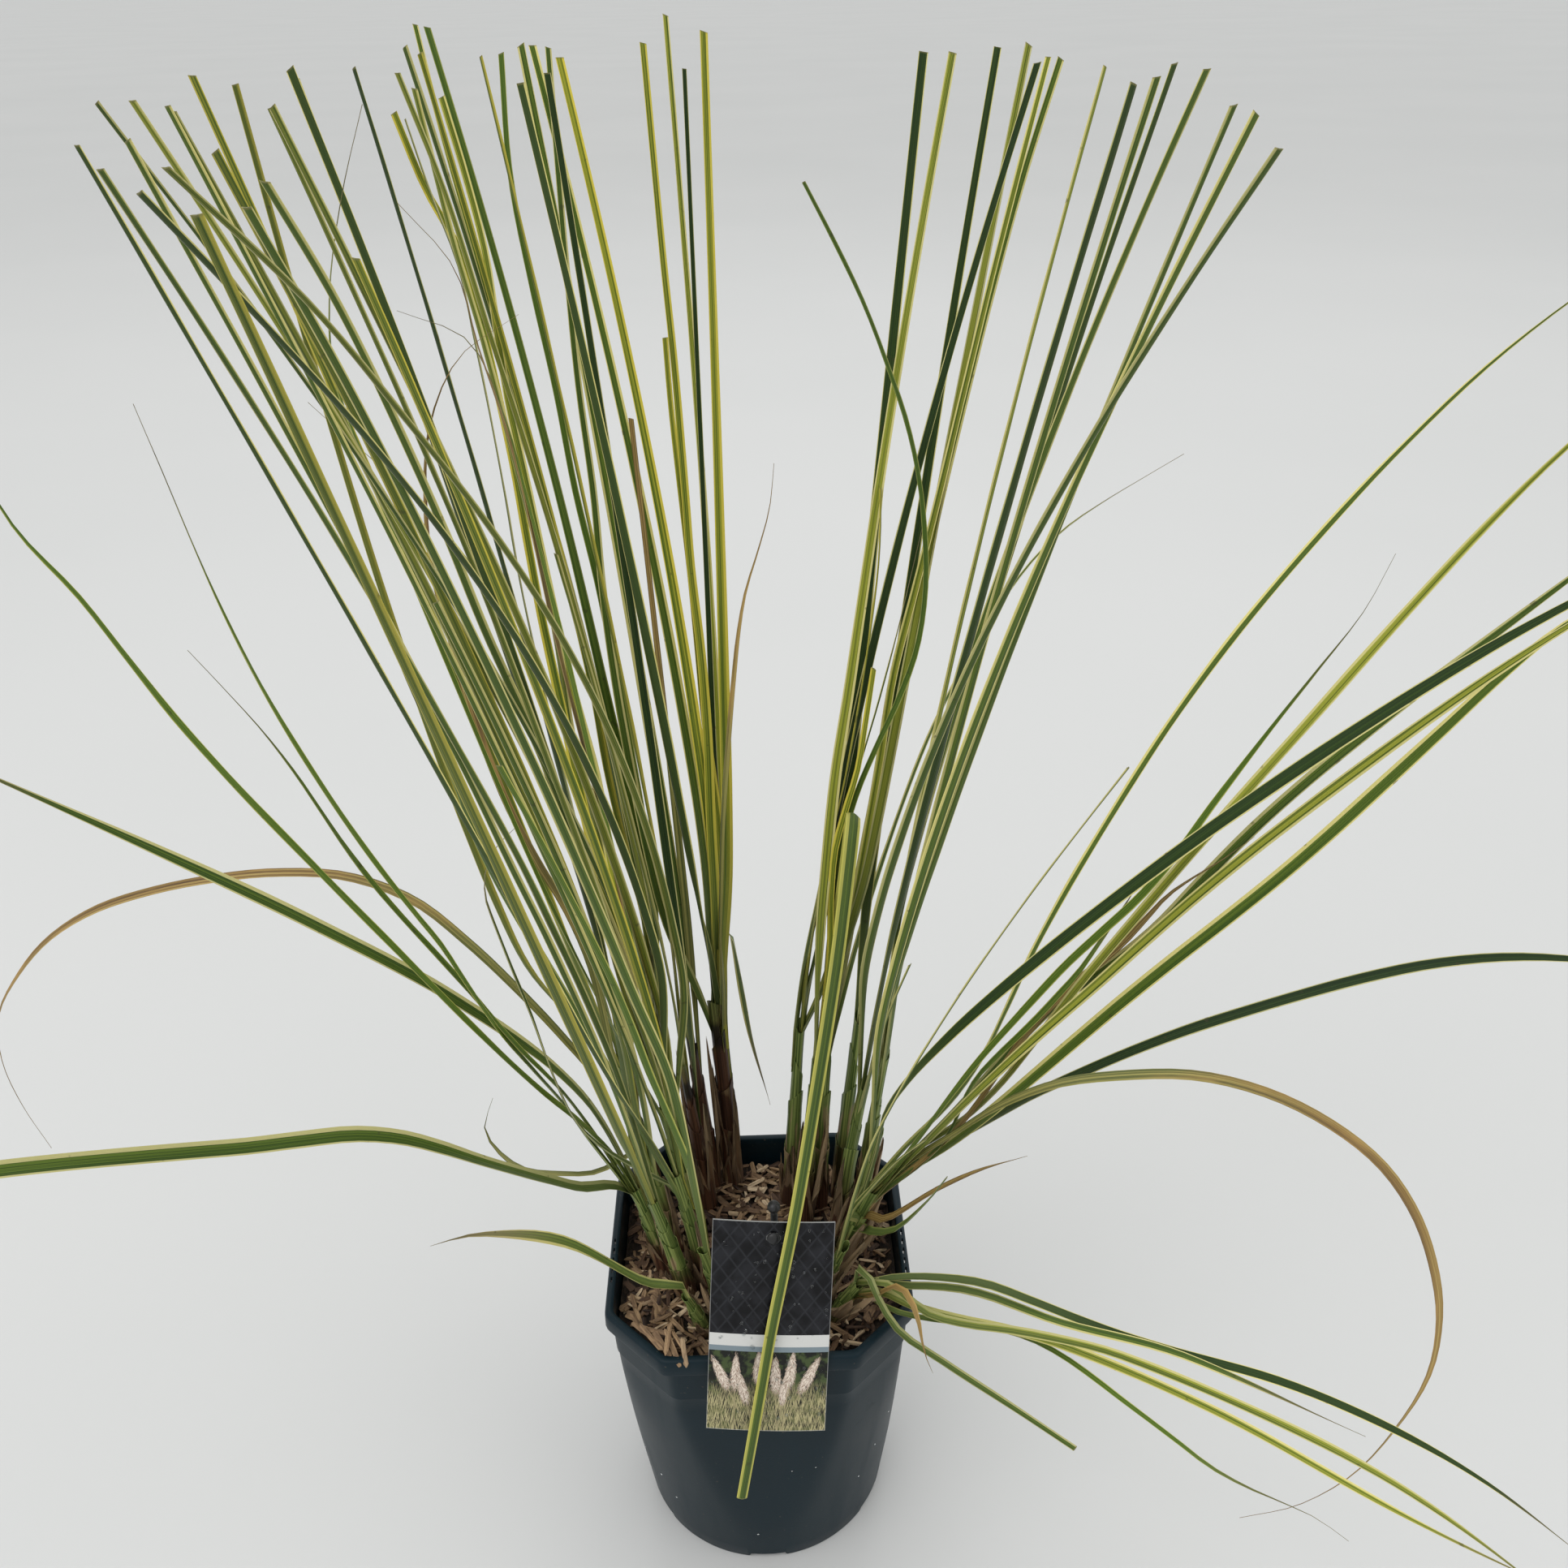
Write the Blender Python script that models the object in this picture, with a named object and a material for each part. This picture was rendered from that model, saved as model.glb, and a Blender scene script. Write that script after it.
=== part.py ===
"""Potted ornamental grass clump: a square-rimmed nursery pot, potting mix under a layer of wood
chips, a care card on its stake, and a clump of leafy shoots whose blades were trimmed level.

Frame: metres, +Z up. The origin is the middle of the pot's base, on the floor. The care card
faces -Y and +X is to its right. Tables of places are in millimetres."""

import math

import bmesh
import bpy
import numpy as np
from mathutils import Vector
from mathutils.bvhtree import BVHTree

MM = 0.001
GAP = 0.3 * MM  # left between pieces that touch

# Pot: a tapered tub that is round at the foot and a corner-cut square at the rim
POT_WIDTH = 170 * MM
POT_HEIGHT = 190 * MM
CORNER_CUT = 33 * MM  # along each side, from the square's corner
FOOT_RADIUS = 72.5 * MM
WALL = 1.6 * MM
LIP_DEPTH = 11 * MM
LIP_OUT = 3.5 * MM  # how far the lip stands out from the wall below it
FLUTE = 0.135  # growth of the round cone's radius for each unit of height
BODY_TAPER = 0.035  # the same for the flat sides
BODY_HEIGHTS = (30 * MM, 62 * MM, 92 * MM, 122 * MM, 150 * MM)
FLOOR_HEIGHT = 6 * MM
FOOT_WIDTH = 7 * MM
PAD_RADIUS = 28 * MM  # flat middle of the underside, level with the foot
UNDER_HEIGHT = 3.5 * MM  # the hollow between the pad and the foot
DRAINS = 6
DRAIN_RADIUS = 5 * MM
DRAIN_CIRCLE = 46 * MM
DRAIN_TURN = math.radians(-60)  # of the first hole, round the pot's axis
GAP_SIDES = 8  # of the drain holes and of the gaps in the wood chips
NOTCH_TURN = math.radians(-90)
NOTCH_WIDTH = 24 * MM
NOTCH_HEIGHT = 3.5 * MM
NOTCHES = 6

# Filling
MIX_TOP = 168 * MM
MULCH_DEPTH = 7 * MM
SHOOT_ROOM = 6.6 * MM  # radius left open round a shoot's foot
STAKE_ROOM = 3.2 * MM

# Care card and its stake
CARD_WIDTH = 63 * MM
CARD_LENGTH = 121 * MM
CARD_THICKNESS = 0.5 * MM
CARD_TOP = Vector((9.5, -62.5, 268.0)) * MM
CARD_FOOT = Vector((1.5, -99.5, 150.0)) * MM
CARD_BOW = 1.5 * MM
CARD_HOLE_DOWN = 9 * MM
CARD_HOLE_RADIUS = 2.4 * MM
STAKE_RADIUS = 1.9 * MM
STAKE_TOP = 275 * MM
STAKE_BEHIND = 5.5 * MM  # the stake's axis behind the card's top edge
PEG_RADIUS = 1.6 * MM
BUTTON_RADIUS = 3.4 * MM
STAKE_SIDES = 10
HOLE_SIDES = 12

# Shoots: root x, y on the mix, then how far the shoot leans by its collar, and the collar's height
SHOOTS = {
    "a": ((-30, -19), (-12, -8), 262),
    "b": ((-41, -26), (-13, -12), 255),
    "c": ((-36, 18), (-14, -8), 275),
    "d": ((-64, 50), (-11, -9), 280),
    "e": ((-15, 63), (-6, 5), 300),
    "f": ((-46, 67), (-9, 4), 290),
    "g": ((20, 45), (7, 0), 300),
    "h": ((36, 41), (7, 4), 310),
    "i": ((47, 17), (14, -4), 285),
    "j": ((61, 33), (13, -2), 290),
    "k": ((44, -10), (20, -3), 235),
    "l": ((40, -45), (14, -5), 204),
    "m": ((-30, -50), (-9, -4), 202),
    "n": ((-54, -3), (-13, -2), 232),
}

# Trimmed blades: shoot, cut end, curl (1 is straight, more bends it out late), sway sideways,
# width, and turn of the face in degrees
TRIMMED = (
    ("a", (-170, -170, 790), 1.1, 0, 5.0, 15),
    ("a", (-165, -110, 795), 1.3, 0, 5.0, 40),
    ("a", (-118, -100, 748), 1.5, 3, 7.0, 25),
    ("b", (-153, -200, 787), 1.6, -12, 4.6, 20),
    ("b", (-160, -160, 790), 1.3, -3, 4.6, 35),
    ("b", (-117, -240, 781), 1.1, -3, 6.5, 15),
    ("c", (-129, -240, 786), 2.3, 0, 5.0, 10),
    ("c", (-179, -100, 796), 1.6, 0, 5.0, 45),
    ("d", (-171, -90, 792), 1.5, 0, 5.5, 40),
    ("d", (-176, -50, 800), 1.2, 0, 5.5, 50),
    ("d", (-151, -20, 800), 1.6, -3, 6.5, 60),
    ("e", (-78, 40, 790), 1.5, 0, 7.0, 50),
    ("e", (-82, 120, 800), 1.6, -9, 7.0, -30),
    ("e", (-68, 100, 796), 1.9, -9, 7.0, -60),
    ("e", (-24, 150, 810), 0.8, -6, 5.5, 20),
    ("e", (-6, 120, 804), 1.4, -3, 7.0, 10),
    ("f", (-130, 80, 802), 1.7, -3, 7.0, 65),
    ("f", (-127, 120, 808), 2.0, 3, 6.0, -60),
    ("h", (87, 80, 796), 1.4, -3, 8.0, 40),
    ("g", (132, 60, 792), 1.7, -3, 7.0, 40),
    ("h", (135, 100, 797), 1.4, -9, 7.0, 30),
    ("i", (153, -20, 789), 1.3, -3, 7.5, -45),
    ("j", (185, 0, 792), 1.8, 0, 6.5, -60),
    ("i", (172, -80, 786), 1.3, -6, 5.5, -35),
    ("i", (165, -150, 780), 2.0, -3, 6.0, -20),
)

# Arching blades: shoot, width, turn, blunt or pointed end, and the way they take from the collar
ARCHING = (
    ("g", 4.0, 10, "blunt", (
        (40, 38, 380), (58, 38, 460), (88, 40, 545), (86, 45, 625), (62, 48, 697), (35, 50, 750)
    )),
    ("g", 7.5, -20, "blunt", (
        (44, 42, 345), (52, 30, 420), (55, 8, 474), (52, -10, 462), (43, -27, 395), (22, -67, 285),
        (8, -86, 222), (-3, -103, 165), (-12, -115, 118)
    )),
    ("k", 6.0, 20, "point", (
        (116, -10, 312), (153, -20, 430), (210, -35, 568), (286, -55, 690), (365, -75, 765)
    )),
    ("k", 6.0, 40, "point", (
        (120, -18, 298), (170, -32, 400), (230, -58, 525), (305, -92, 672), (370, -125, 752)
    )),
    ("k", 7.0, 50, "point", (
        (75, -30, 318), (125, -45, 400), (215, -75, 515), (310, -110, 618), (400, -150, 690)
    )),
    ("k", 6.5, 30, "point", (
        (118, -8, 274), (160, -20, 315), (235, -35, 367), (340, -52, 412), (430, -70, 412),
        (485, -90, 378)
    )),
    ("k", 5.5, 50, "point", (
        (113, -28, 296), (155, -37, 330), (232, -55, 346), (302, -72, 314), (341, -86, 255),
        (350, -100, 180), (306, -120, 118), (250, -132, 112)
    )),
    ("l", 6.0, 10, "point", (
        (80, -55, 212), (115, -67, 222), (195, -87, 198), (280, -110, 183), (360, -135, 150),
        (435, -160, 96)
    )),
    ("l", 6.0, 0, "point", (
        (90, -78, 210), (130, -95, 217), (190, -115, 215), (300, -163, 187), (400, -212, 130)
    )),
    ("l", 5.0, -10, "blunt", (
        (75, -77, 197), (95, -95, 195), (128, -118, 188), (155, -142, 187)
    )),
    ("m", 7.5, -60, "point", (
        (-60, -60, 220), (-95, -80, 275), (-130, -100, 304), (-152, -111, 309)
    )),
    ("n", 8.0, -50, "blunt", (
        (-86, -26, 256), (-125, -57, 304), (-170, -93, 362), (-215, -133, 395), (-275, -198, 448),
        (-330, -245, 478)
    )),
    ("n", 7.0, -50, "point", (
        (-95, -12, 318), (-145, -20, 382), (-200, -30, 435), (-260, -45, 490), (-350, -75, 575)
    )),
    ("n", 5.5, -20, "point", (
        (-85, -14, 283), (-120, -24, 340), (-165, -33, 420), (-230, -43, 537), (-258, -55, 612),
        (-276, -62, 655), (-288, -72, 745)
    )),
    ("n", 5.0, -45, "point", (
        (-85, 12, 297), (-130, 20, 367), (-185, 30, 418), (-260, 35, 425), (-355, 45, 395),
        (-415, 52, 335), (-430, 56, 280), (-422, 60, 220)
    )),
)

SHOOT_CURL = 1.3  # 1 is straight; more leans the shoot out late
SHOOT_DEPTH = 4.4 * MM  # half the depth at the foot
SHOOT_LEAST = 2.2 * MM  # the least half depth at the collar
SHOOT_WIDE = 5.2 * MM  # half the breadth at the foot
SHOOT_NARROWS = 1.2 * MM  # less at the collar
SHOOT_SIDES = 8
BLADE_THICKNESS = 0.55 * MM
FOLD = 0.3  # rise of a blade's edges over its midrib, for each unit of half width
STACK = 1.7 * MM  # from one blade to the next in a shoot's collar
COLLAR_GAP = 1.0 * MM  # between a shoot's top and its blades
ORDER_REACH = 100 * MM  # where the blades of a shoot are compared, to stack them in order
SETTLE = 120 * MM  # length over which a blade leaves its shoot
TRIMMED_STEPS = 11
ARCHING_STEPS = 17
CLEAR_ROUNDS = 120
NUDGE = 0.7 * MM
NUDGE_REACH = 70 * MM
ROOT_REACH = 25 * MM  # below this a blade is held by its shoot
ONWARD = 12  # millimetres that an arching blade keeps its shoot's direction
NEARLY_LEVEL = 0.15  # sine of the angle under which two crossing blades count as side by side
STACKED_STEPS = 4  # nearer the collar than this, blades of one shoot part along their stack
FACES_PER_STEP = 8


# ---- shared small tools -------------------------------------------------------------------------


def clear_scene():
    for old in list(bpy.data.objects):
        bpy.data.objects.remove(old, do_unlink=True)


def material(name, colour, roughness):
    made = bpy.data.materials.new(name)
    made.use_nodes = True
    shader = made.node_tree.nodes["Principled BSDF"]
    shader.inputs["Base Color"].default_value = (*colour, 1.0)
    shader.inputs["Roughness"].default_value = roughness
    shader.inputs["Metallic"].default_value = 0.0
    return made


def new_object(name, points, faces, finish=None, smooth=True):
    """An object from points and faces, with its faces turned outwards."""
    mesh = bpy.data.meshes.new(name)
    mesh.from_pydata([tuple(p) for p in points], [], faces)
    shape = bmesh.new()
    shape.from_mesh(mesh)
    bmesh.ops.recalc_face_normals(shape, faces=shape.faces)
    shape.to_mesh(mesh)
    shape.free()
    if smooth:
        mesh.shade_smooth()
        mesh.set_sharp_from_angle(angle=math.radians(40))
    made = bpy.data.objects.new(name, mesh)
    bpy.context.collection.objects.link(made)
    if finish:
        mesh.materials.append(finish)
    return made


def loft(rings, close_ends=True):
    """Points and faces of a skin over rings that all have the same number of points."""
    count = len(rings[0])
    points = [p for ring in rings for p in ring]
    faces = []
    for r in range(len(rings) - 1):
        for i in range(count):
            j = (i + 1) % count
            faces.append((r * count + i, r * count + j, (r + 1) * count + j, (r + 1) * count + i))
    if close_ends:
        faces.append(tuple(reversed(range(count))))
        faces.append(tuple((len(rings) - 1) * count + i for i in range(count)))
    return points, faces


def halved(points, faces):
    """The same skin with every four-sided face split along its first diagonal."""
    split = []
    for face in faces:
        if len(face) == 4:
            split += [(face[0], face[1], face[2]), (face[0], face[2], face[3])]
        else:
            split.append(face)
    return points, split


def cut_away(target, cutter, operation="DIFFERENCE"):
    cutter.hide_render = True
    cutter.display_type = "WIRE"
    cut = target.modifiers.new(cutter.name, "BOOLEAN")
    cut.operation = operation
    cut.object = cutter


def smooth_step(t):
    t = min(max(t, 0.0), 1.0)
    return t * t * (3 - 2 * t)


# ---- pot and filling ----------------------------------------------------------------------------


def outline_angles():
    """Angles round the pot: the eight corners, with even steps between them."""
    half = POT_WIDTH / 2
    corner = math.atan2(half - CORNER_CUT, half)
    angles = []
    for quarter in range(4):
        start = quarter * math.pi / 2
        angles += [start + corner * s for s in (-1, -0.5, 0, 0.5)]
        cut_span = math.pi / 2 - 2 * corner
        angles += [start + corner + cut_span * s for s in (0, 0.25, 0.5, 0.75)]
    return angles


def pot_radius(angle, height, inset, lip=False):
    """Distance of the pot's skin from its axis: flat sides that a round cone cuts into."""
    half = POT_WIDTH / 2 if lip else POT_WIDTH / 2 - LIP_OUT - BODY_TAPER * (POT_HEIGHT - height)
    quarter = (angle + math.pi / 4) % (math.pi / 2) - math.pi / 4
    side = (half - inset) / math.cos(quarter)
    diagonal = (2 * half - CORNER_CUT) / math.sqrt(2) - inset
    cut = diagonal / math.cos(math.pi / 4 - abs(quarter))
    flat = min(side, cut)
    if lip:
        return flat
    return min(flat, FOOT_RADIUS + FLUTE * height - inset)


def pot_ring(height, inset, lip=False):
    ring = []
    for angle in outline_angles():
        radius = pot_radius(angle, height, inset, lip)
        ring.append((radius * math.cos(angle), radius * math.sin(angle), height))
    return ring


def make_pot():
    lip_low = POT_HEIGHT - LIP_DEPTH
    outer = [pot_ring(h, 0) for h in (0.0, *BODY_HEIGHTS, lip_low - 3 * MM)]
    lip = [
        pot_ring(lip_low, 0.6 * MM, lip=True),
        pot_ring(lip_low + 1.5 * MM, 0, lip=True),
        pot_ring(POT_HEIGHT - 2 * MM, 0, lip=True),
        pot_ring(POT_HEIGHT, 1.5 * MM, lip=True),
        pot_ring(POT_HEIGHT, LIP_OUT + WALL - 1 * MM, lip=True),
    ]
    inner = [pot_ring(h, WALL) for h in (MIX_TOP, *reversed(BODY_HEIGHTS), FLOOR_HEIGHT)]
    pad_inset = FOOT_RADIUS - PAD_RADIUS
    under = [
        pot_ring(0.0, pad_inset),
        pot_ring(UNDER_HEIGHT, pad_inset),
        pot_ring(UNDER_HEIGHT, FOOT_WIDTH),
        pot_ring(0.0, FOOT_WIDTH),
    ]
    rings = under + outer + lip + inner
    plastic = material("pot_plastic", (0.022, 0.045, 0.055), 0.42)
    pot = new_object("pot", *halved(*loft(rings)), plastic)
    for n in range(NOTCHES):
        turn = NOTCH_TURN + n * math.tau / NOTCHES
        across = Vector((-math.sin(turn), math.cos(turn), 0)) * NOTCH_WIDTH / 2
        near = Vector((math.cos(turn), math.sin(turn), 0)) * (FOOT_RADIUS - FOOT_WIDTH - 3 * MM)
        far = Vector((math.cos(turn), math.sin(turn), 0)) * (FOOT_RADIUS + 5 * MM)
        low = Vector((0, 0, -2 * MM))
        high = Vector((0, 0, NOTCH_HEIGHT))
        bottom = [near - across + low, near + across + low, far + across + low, far - across + low]
        top = [near - across * 0.85 + high, near + across * 0.85 + high, far + across * 0.85 + high,
               far - across * 0.85 + high]
        cut_away(pot, new_object(f"notch_{n + 1}", *loft([bottom, top]), smooth=False))
    for n in range(DRAINS):
        turn = DRAIN_TURN + n * math.tau / DRAINS
        ring = [
            (DRAIN_CIRCLE * math.cos(turn) + DRAIN_RADIUS * math.cos(t),
             DRAIN_CIRCLE * math.sin(turn) + DRAIN_RADIUS * math.sin(t))
            for t in (math.tau * k / GAP_SIDES for k in range(GAP_SIDES))
        ]
        drain = [[(x, y, z) for x, y in ring] for z in (UNDER_HEIGHT - 1 * MM, FLOOR_HEIGHT + 1 * MM)]
        cut_away(pot, new_object(f"drain_{n + 1}", *loft(drain), smooth=False))
    return pot


def make_mix():
    """The block of mix, its rings listed downwards like the pot's inside, so both split alike."""
    heights = (MIX_TOP, *reversed(BODY_HEIGHTS), FLOOR_HEIGHT + GAP)
    rings = [pot_ring(h, WALL + GAP) for h in heights]
    soil = material("potting_mix", (0.03, 0.02, 0.014), 0.95)
    return new_object("potting_mix", *halved(*loft(rings)), soil)


def make_mulch(pillars):
    """The layer that the wood chips fill, open around every shoot and the stake."""
    low = pot_ring(MIX_TOP + GAP, WALL + GAP)
    high = pot_ring(MIX_TOP + MULCH_DEPTH, WALL + 1.5 * MM)
    mulch = new_object("wood_chip_mulch", *loft([low, high]), material("wood_chips", (0.5, 0.33, 0.2), 0.85))
    for number, (x, y, radius) in enumerate(pillars):
        ring = [
            (x + radius * math.cos(t), y + radius * math.sin(t))
            for t in (math.tau * k / GAP_SIDES for k in range(GAP_SIDES))
        ]
        below = [(px, py, MIX_TOP - 2 * MM) for px, py in ring]
        above = [(px, py, MIX_TOP + MULCH_DEPTH + 2 * MM) for px, py in ring]
        cut_away(mulch, new_object(f"mulch_gap_{number + 1}", *loft([below, above]), smooth=False))
    return mulch


# ---- care card and stake ------------------------------------------------------------------------


def card_frame():
    down = (CARD_FOOT - CARD_TOP).normalized()
    across = Vector((1, 0, 0)) - down * down.x
    across.normalize()
    forward = across.cross(down)
    if forward.y > 0:
        forward = -forward
    return down, across, forward


def card_point(along, side, depth):
    """A point of the card: along its length, to a side of its middle, and in front of its back."""
    down, across, forward = card_frame()
    bow = CARD_BOW * (1 - (2 * side / CARD_WIDTH) ** 2)
    return CARD_TOP + down * along + across * side + forward * (depth + bow)


def make_card():
    columns, rows = 6, 4
    rings = []
    for column in range(columns + 1):
        side = CARD_WIDTH * (column / columns - 0.5)
        front = [card_point(CARD_LENGTH * r / rows, side, CARD_THICKNESS) for r in range(rows + 1)]
        back = [card_point(CARD_LENGTH * r / rows, side, 0) for r in reversed(range(rows + 1))]
        rings.append(front + back)
    card = new_object("care_card", *loft(rings), material("printed_card", (0.03, 0.03, 0.035), 0.35))
    down, across, forward = card_frame()
    centre = card_point(CARD_HOLE_DOWN, 0, 0)
    rings = [
        [
            centre + forward * reach + (across * math.cos(t) + down * math.sin(t)) * CARD_HOLE_RADIUS
            for t in (math.tau * k / HOLE_SIDES for k in range(HOLE_SIDES))
        ]
        for reach in (-4 * MM, 4 * MM)
    ]
    cut_away(card, new_object("card_hole", *loft(rings), smooth=False))
    return card


def make_stake():
    """A pin standing in the mix, with a round head, and a peg that buttons through the card."""
    down, across, forward = card_frame()
    foot = stake_foot()
    top = STAKE_TOP
    profile = (
        (0.4 * MM, MIX_TOP + GAP), (STAKE_RADIUS, MIX_TOP + 3 * MM), (STAKE_RADIUS, top - 7 * MM),
        (3.0 * MM, top - 5 * MM), (3.4 * MM, top - 3 * MM), (2.6 * MM, top - 1 * MM), (0.9 * MM, top),
    )
    rings = [
        [
            (foot.x + r * math.cos(t), foot.y + r * math.sin(t), z)
            for t in (math.tau * k / STAKE_SIDES for k in range(STAKE_SIDES))
        ]
        for r, z in profile
    ]
    stake = new_object("card_stake", *loft(rings), material("stake_plastic", (0.01, 0.01, 0.012), 0.4))
    centre = card_point(CARD_HOLE_DOWN, 0, 0)
    face = CARD_THICKNESS + GAP
    behind = (centre.y - foot.y) / abs(forward.y)
    peg_profile = (
        (PEG_RADIUS, behind), (PEG_RADIUS, face), (BUTTON_RADIUS, face), (BUTTON_RADIUS, face + 0.9 * MM),
        (1.8 * MM, face + 2 * MM),
    )
    rings = [
        [
            centre + forward * reach + (across * math.cos(t) + down * math.sin(t)) * r
            for t in (math.tau * k / STAKE_SIDES for k in range(STAKE_SIDES))
        ]
        for r, reach in peg_profile
    ]
    cut_away(stake, new_object("peg", *loft(rings), smooth=False), "UNION")
    return stake


def stake_foot():
    return Vector((CARD_TOP.x, CARD_TOP.y + STAKE_BEHIND, 0))


# ---- shoots -------------------------------------------------------------------------------------


def shoot_root(shoot):
    (x, y), _, _ = SHOOTS[shoot]
    return Vector((x * MM, y * MM, MIX_TOP))


def shoot_line(shoot, t):
    """The shoot's middle line, from 0 at the mix to 1 at the collar, leaning more as it rises."""
    (x, y), (lean_x, lean_y), height = SHOOTS[shoot]
    lean = t ** SHOOT_CURL
    return Vector((x + lean_x * lean, y + lean_y * lean, MIX_TOP / MM + (height - MIX_TOP / MM) * t)) * MM


def collar(shoot):
    return shoot_line(shoot, 1.0)


def shoot_axes(shoot, t=1.0):
    """Along the shoot, sideways, and the way its blades are stacked, from the inner to the outer."""
    ahead = (shoot_line(shoot, t + 0.02) - shoot_line(shoot, max(t - 0.02, 0.0))).normalized()
    _, (lean_x, lean_y), _ = SHOOTS[shoot]
    side = Vector((-lean_y, lean_x, 0)).normalized()
    return ahead, side, side.cross(ahead)


def blades_of(shoot):
    return sum(row[0] == shoot for row in TRIMMED) + sum(row[0] == shoot for row in ARCHING)


def make_shoot(shoot, finish):
    """The wrapped sheaths of one shoot, oval, from the mix to just under its blades."""
    deep_top = max(blades_of(shoot) * STACK / 2, SHOOT_LEAST)
    rings = []
    for t in (0.0, 0.2, 0.45, 0.7, 0.9, 1.0):
        centre = shoot_line(shoot, t)
        _, side, stack = shoot_axes(shoot, t)
        if t == 0:
            centre.z += GAP
            stack = Vector((stack.x, stack.y, 0)).normalized()
        wide = SHOOT_WIDE - SHOOT_NARROWS * t
        deep = SHOOT_DEPTH * (1 - t) + deep_top * t
        rings.append([
            centre + side * wide * math.cos(angle) + stack * deep * math.sin(angle)
            for angle in (math.tau * k / SHOOT_SIDES for k in range(SHOOT_SIDES))
        ])
    return new_object(f"shoot_{shoot}", *loft(rings), finish)


# ---- blades -------------------------------------------------------------------------------------


def smooth_way(stops, count):
    """Evenly spaced points on a smooth curve through the stops."""
    stops = np.array(stops, float)
    ends = np.vstack([2 * stops[0] - stops[1], stops, 2 * stops[-1] - stops[-2]])
    fine = []
    for i in range(1, len(ends) - 2):
        a, b, c, d = ends[i - 1:i + 3]
        for t in np.linspace(0, 1, 24, endpoint=False):
            fine.append(0.5 * (2 * b + (c - a) * t + (2 * a - 5 * b + 4 * c - d) * t ** 2
                               + (3 * b - a - 3 * c + d) * t ** 3))
    fine.append(stops[-1])
    fine = np.array(fine)
    along = np.concatenate([[0], np.cumsum(np.linalg.norm(np.diff(fine, axis=0), axis=1))])
    wanted = np.linspace(0, along[-1], count)
    return np.column_stack([np.interp(wanted, along, fine[:, k]) for k in range(3)])


def trimmed_way(shoot, end, curl, sway):
    """A blade that leaves the mix upright and leans out to its cut end."""
    root = np.array(shoot_root(shoot)) / MM
    end = np.array(end, float)
    reach = end[:2] - root[:2]
    side = np.array([-reach[1], reach[0]]) / np.linalg.norm(reach)
    first = (SHOOTS[shoot][2] + GAP / MM - root[2]) / (end[2] - root[2])
    stops = []
    for u in np.linspace(first, 1, 9):
        flat = root[:2] + reach * u ** curl + side * sway * math.sin(math.pi * u)
        stops.append((*flat, root[2] + (end[2] - root[2]) * u))
    return stops


def blade_rows():
    """Every blade's shoot, stops, width, turn, end and number of steps."""
    rows = []
    for shoot, end, curl, sway, width, turn in TRIMMED:
        rows.append((shoot, trimmed_way(shoot, end, curl, sway), width, turn, "cut", TRIMMED_STEPS))
    for shoot, width, turn, ending, stops in ARCHING:
        ahead, _, _ = shoot_axes(shoot)
        start = np.array(collar(shoot)) / MM
        onward = start + np.array(ahead) * ONWARD
        rows.append((shoot, [tuple(start), tuple(onward), *stops], width, turn, ending, ARCHING_STEPS))
    return rows


def distances(way):
    return np.concatenate([[0], np.cumsum(np.linalg.norm(np.diff(way, axis=0), axis=1))])


def plan_blades():
    """The middle line and measures of every blade, keyed by its name."""
    blades = {}
    for shoot in SHOOTS:
        ahead, _, stack = (np.array(axis) for axis in shoot_axes(shoot))
        planned = []
        for _, stops, width, turn, ending, steps in [row for row in blade_rows() if row[0] == shoot]:
            way = smooth_way(stops, steps + 1) * MM
            along = distances(way)
            there = [np.interp(ORDER_REACH, along, way[:, k]) for k in range(3)]
            planned.append((float(np.dot(there, stack)), way, along, width, turn, ending))
        planned.sort(key=lambda plan: plan[0])
        for order, (_, way, along, width, turn, ending) in enumerate(planned):
            start = np.array(collar(shoot)) + stack * (order - (len(planned) - 1) / 2) * STACK
            start = start + ahead * COLLAR_GAP
            fade = np.array([1 - smooth_step(a / SETTLE) for a in along])
            way = way + (start - way[0]) * fade[:, None]
            blades[f"blade_{shoot}{order + 1}"] = {
                "shoot": shoot, "way": way, "along": along, "turn": turn, "ending": ending,
                "width": width * MM,
            }
    return blades


def half_width(blade, u):
    grown = 0.7 + 0.3 * smooth_step(u / 0.15)
    if blade["ending"] == "cut":
        taper = 1 - 0.5 * smooth_step(u)
    elif blade["ending"] == "blunt":
        taper = 1 - 0.25 * u ** 2
    else:
        taper = 1 - 0.15 * u - 0.83 * smooth_step((u - 0.6) / 0.4)
    return blade["width"] / 2 * grown * taper


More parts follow.
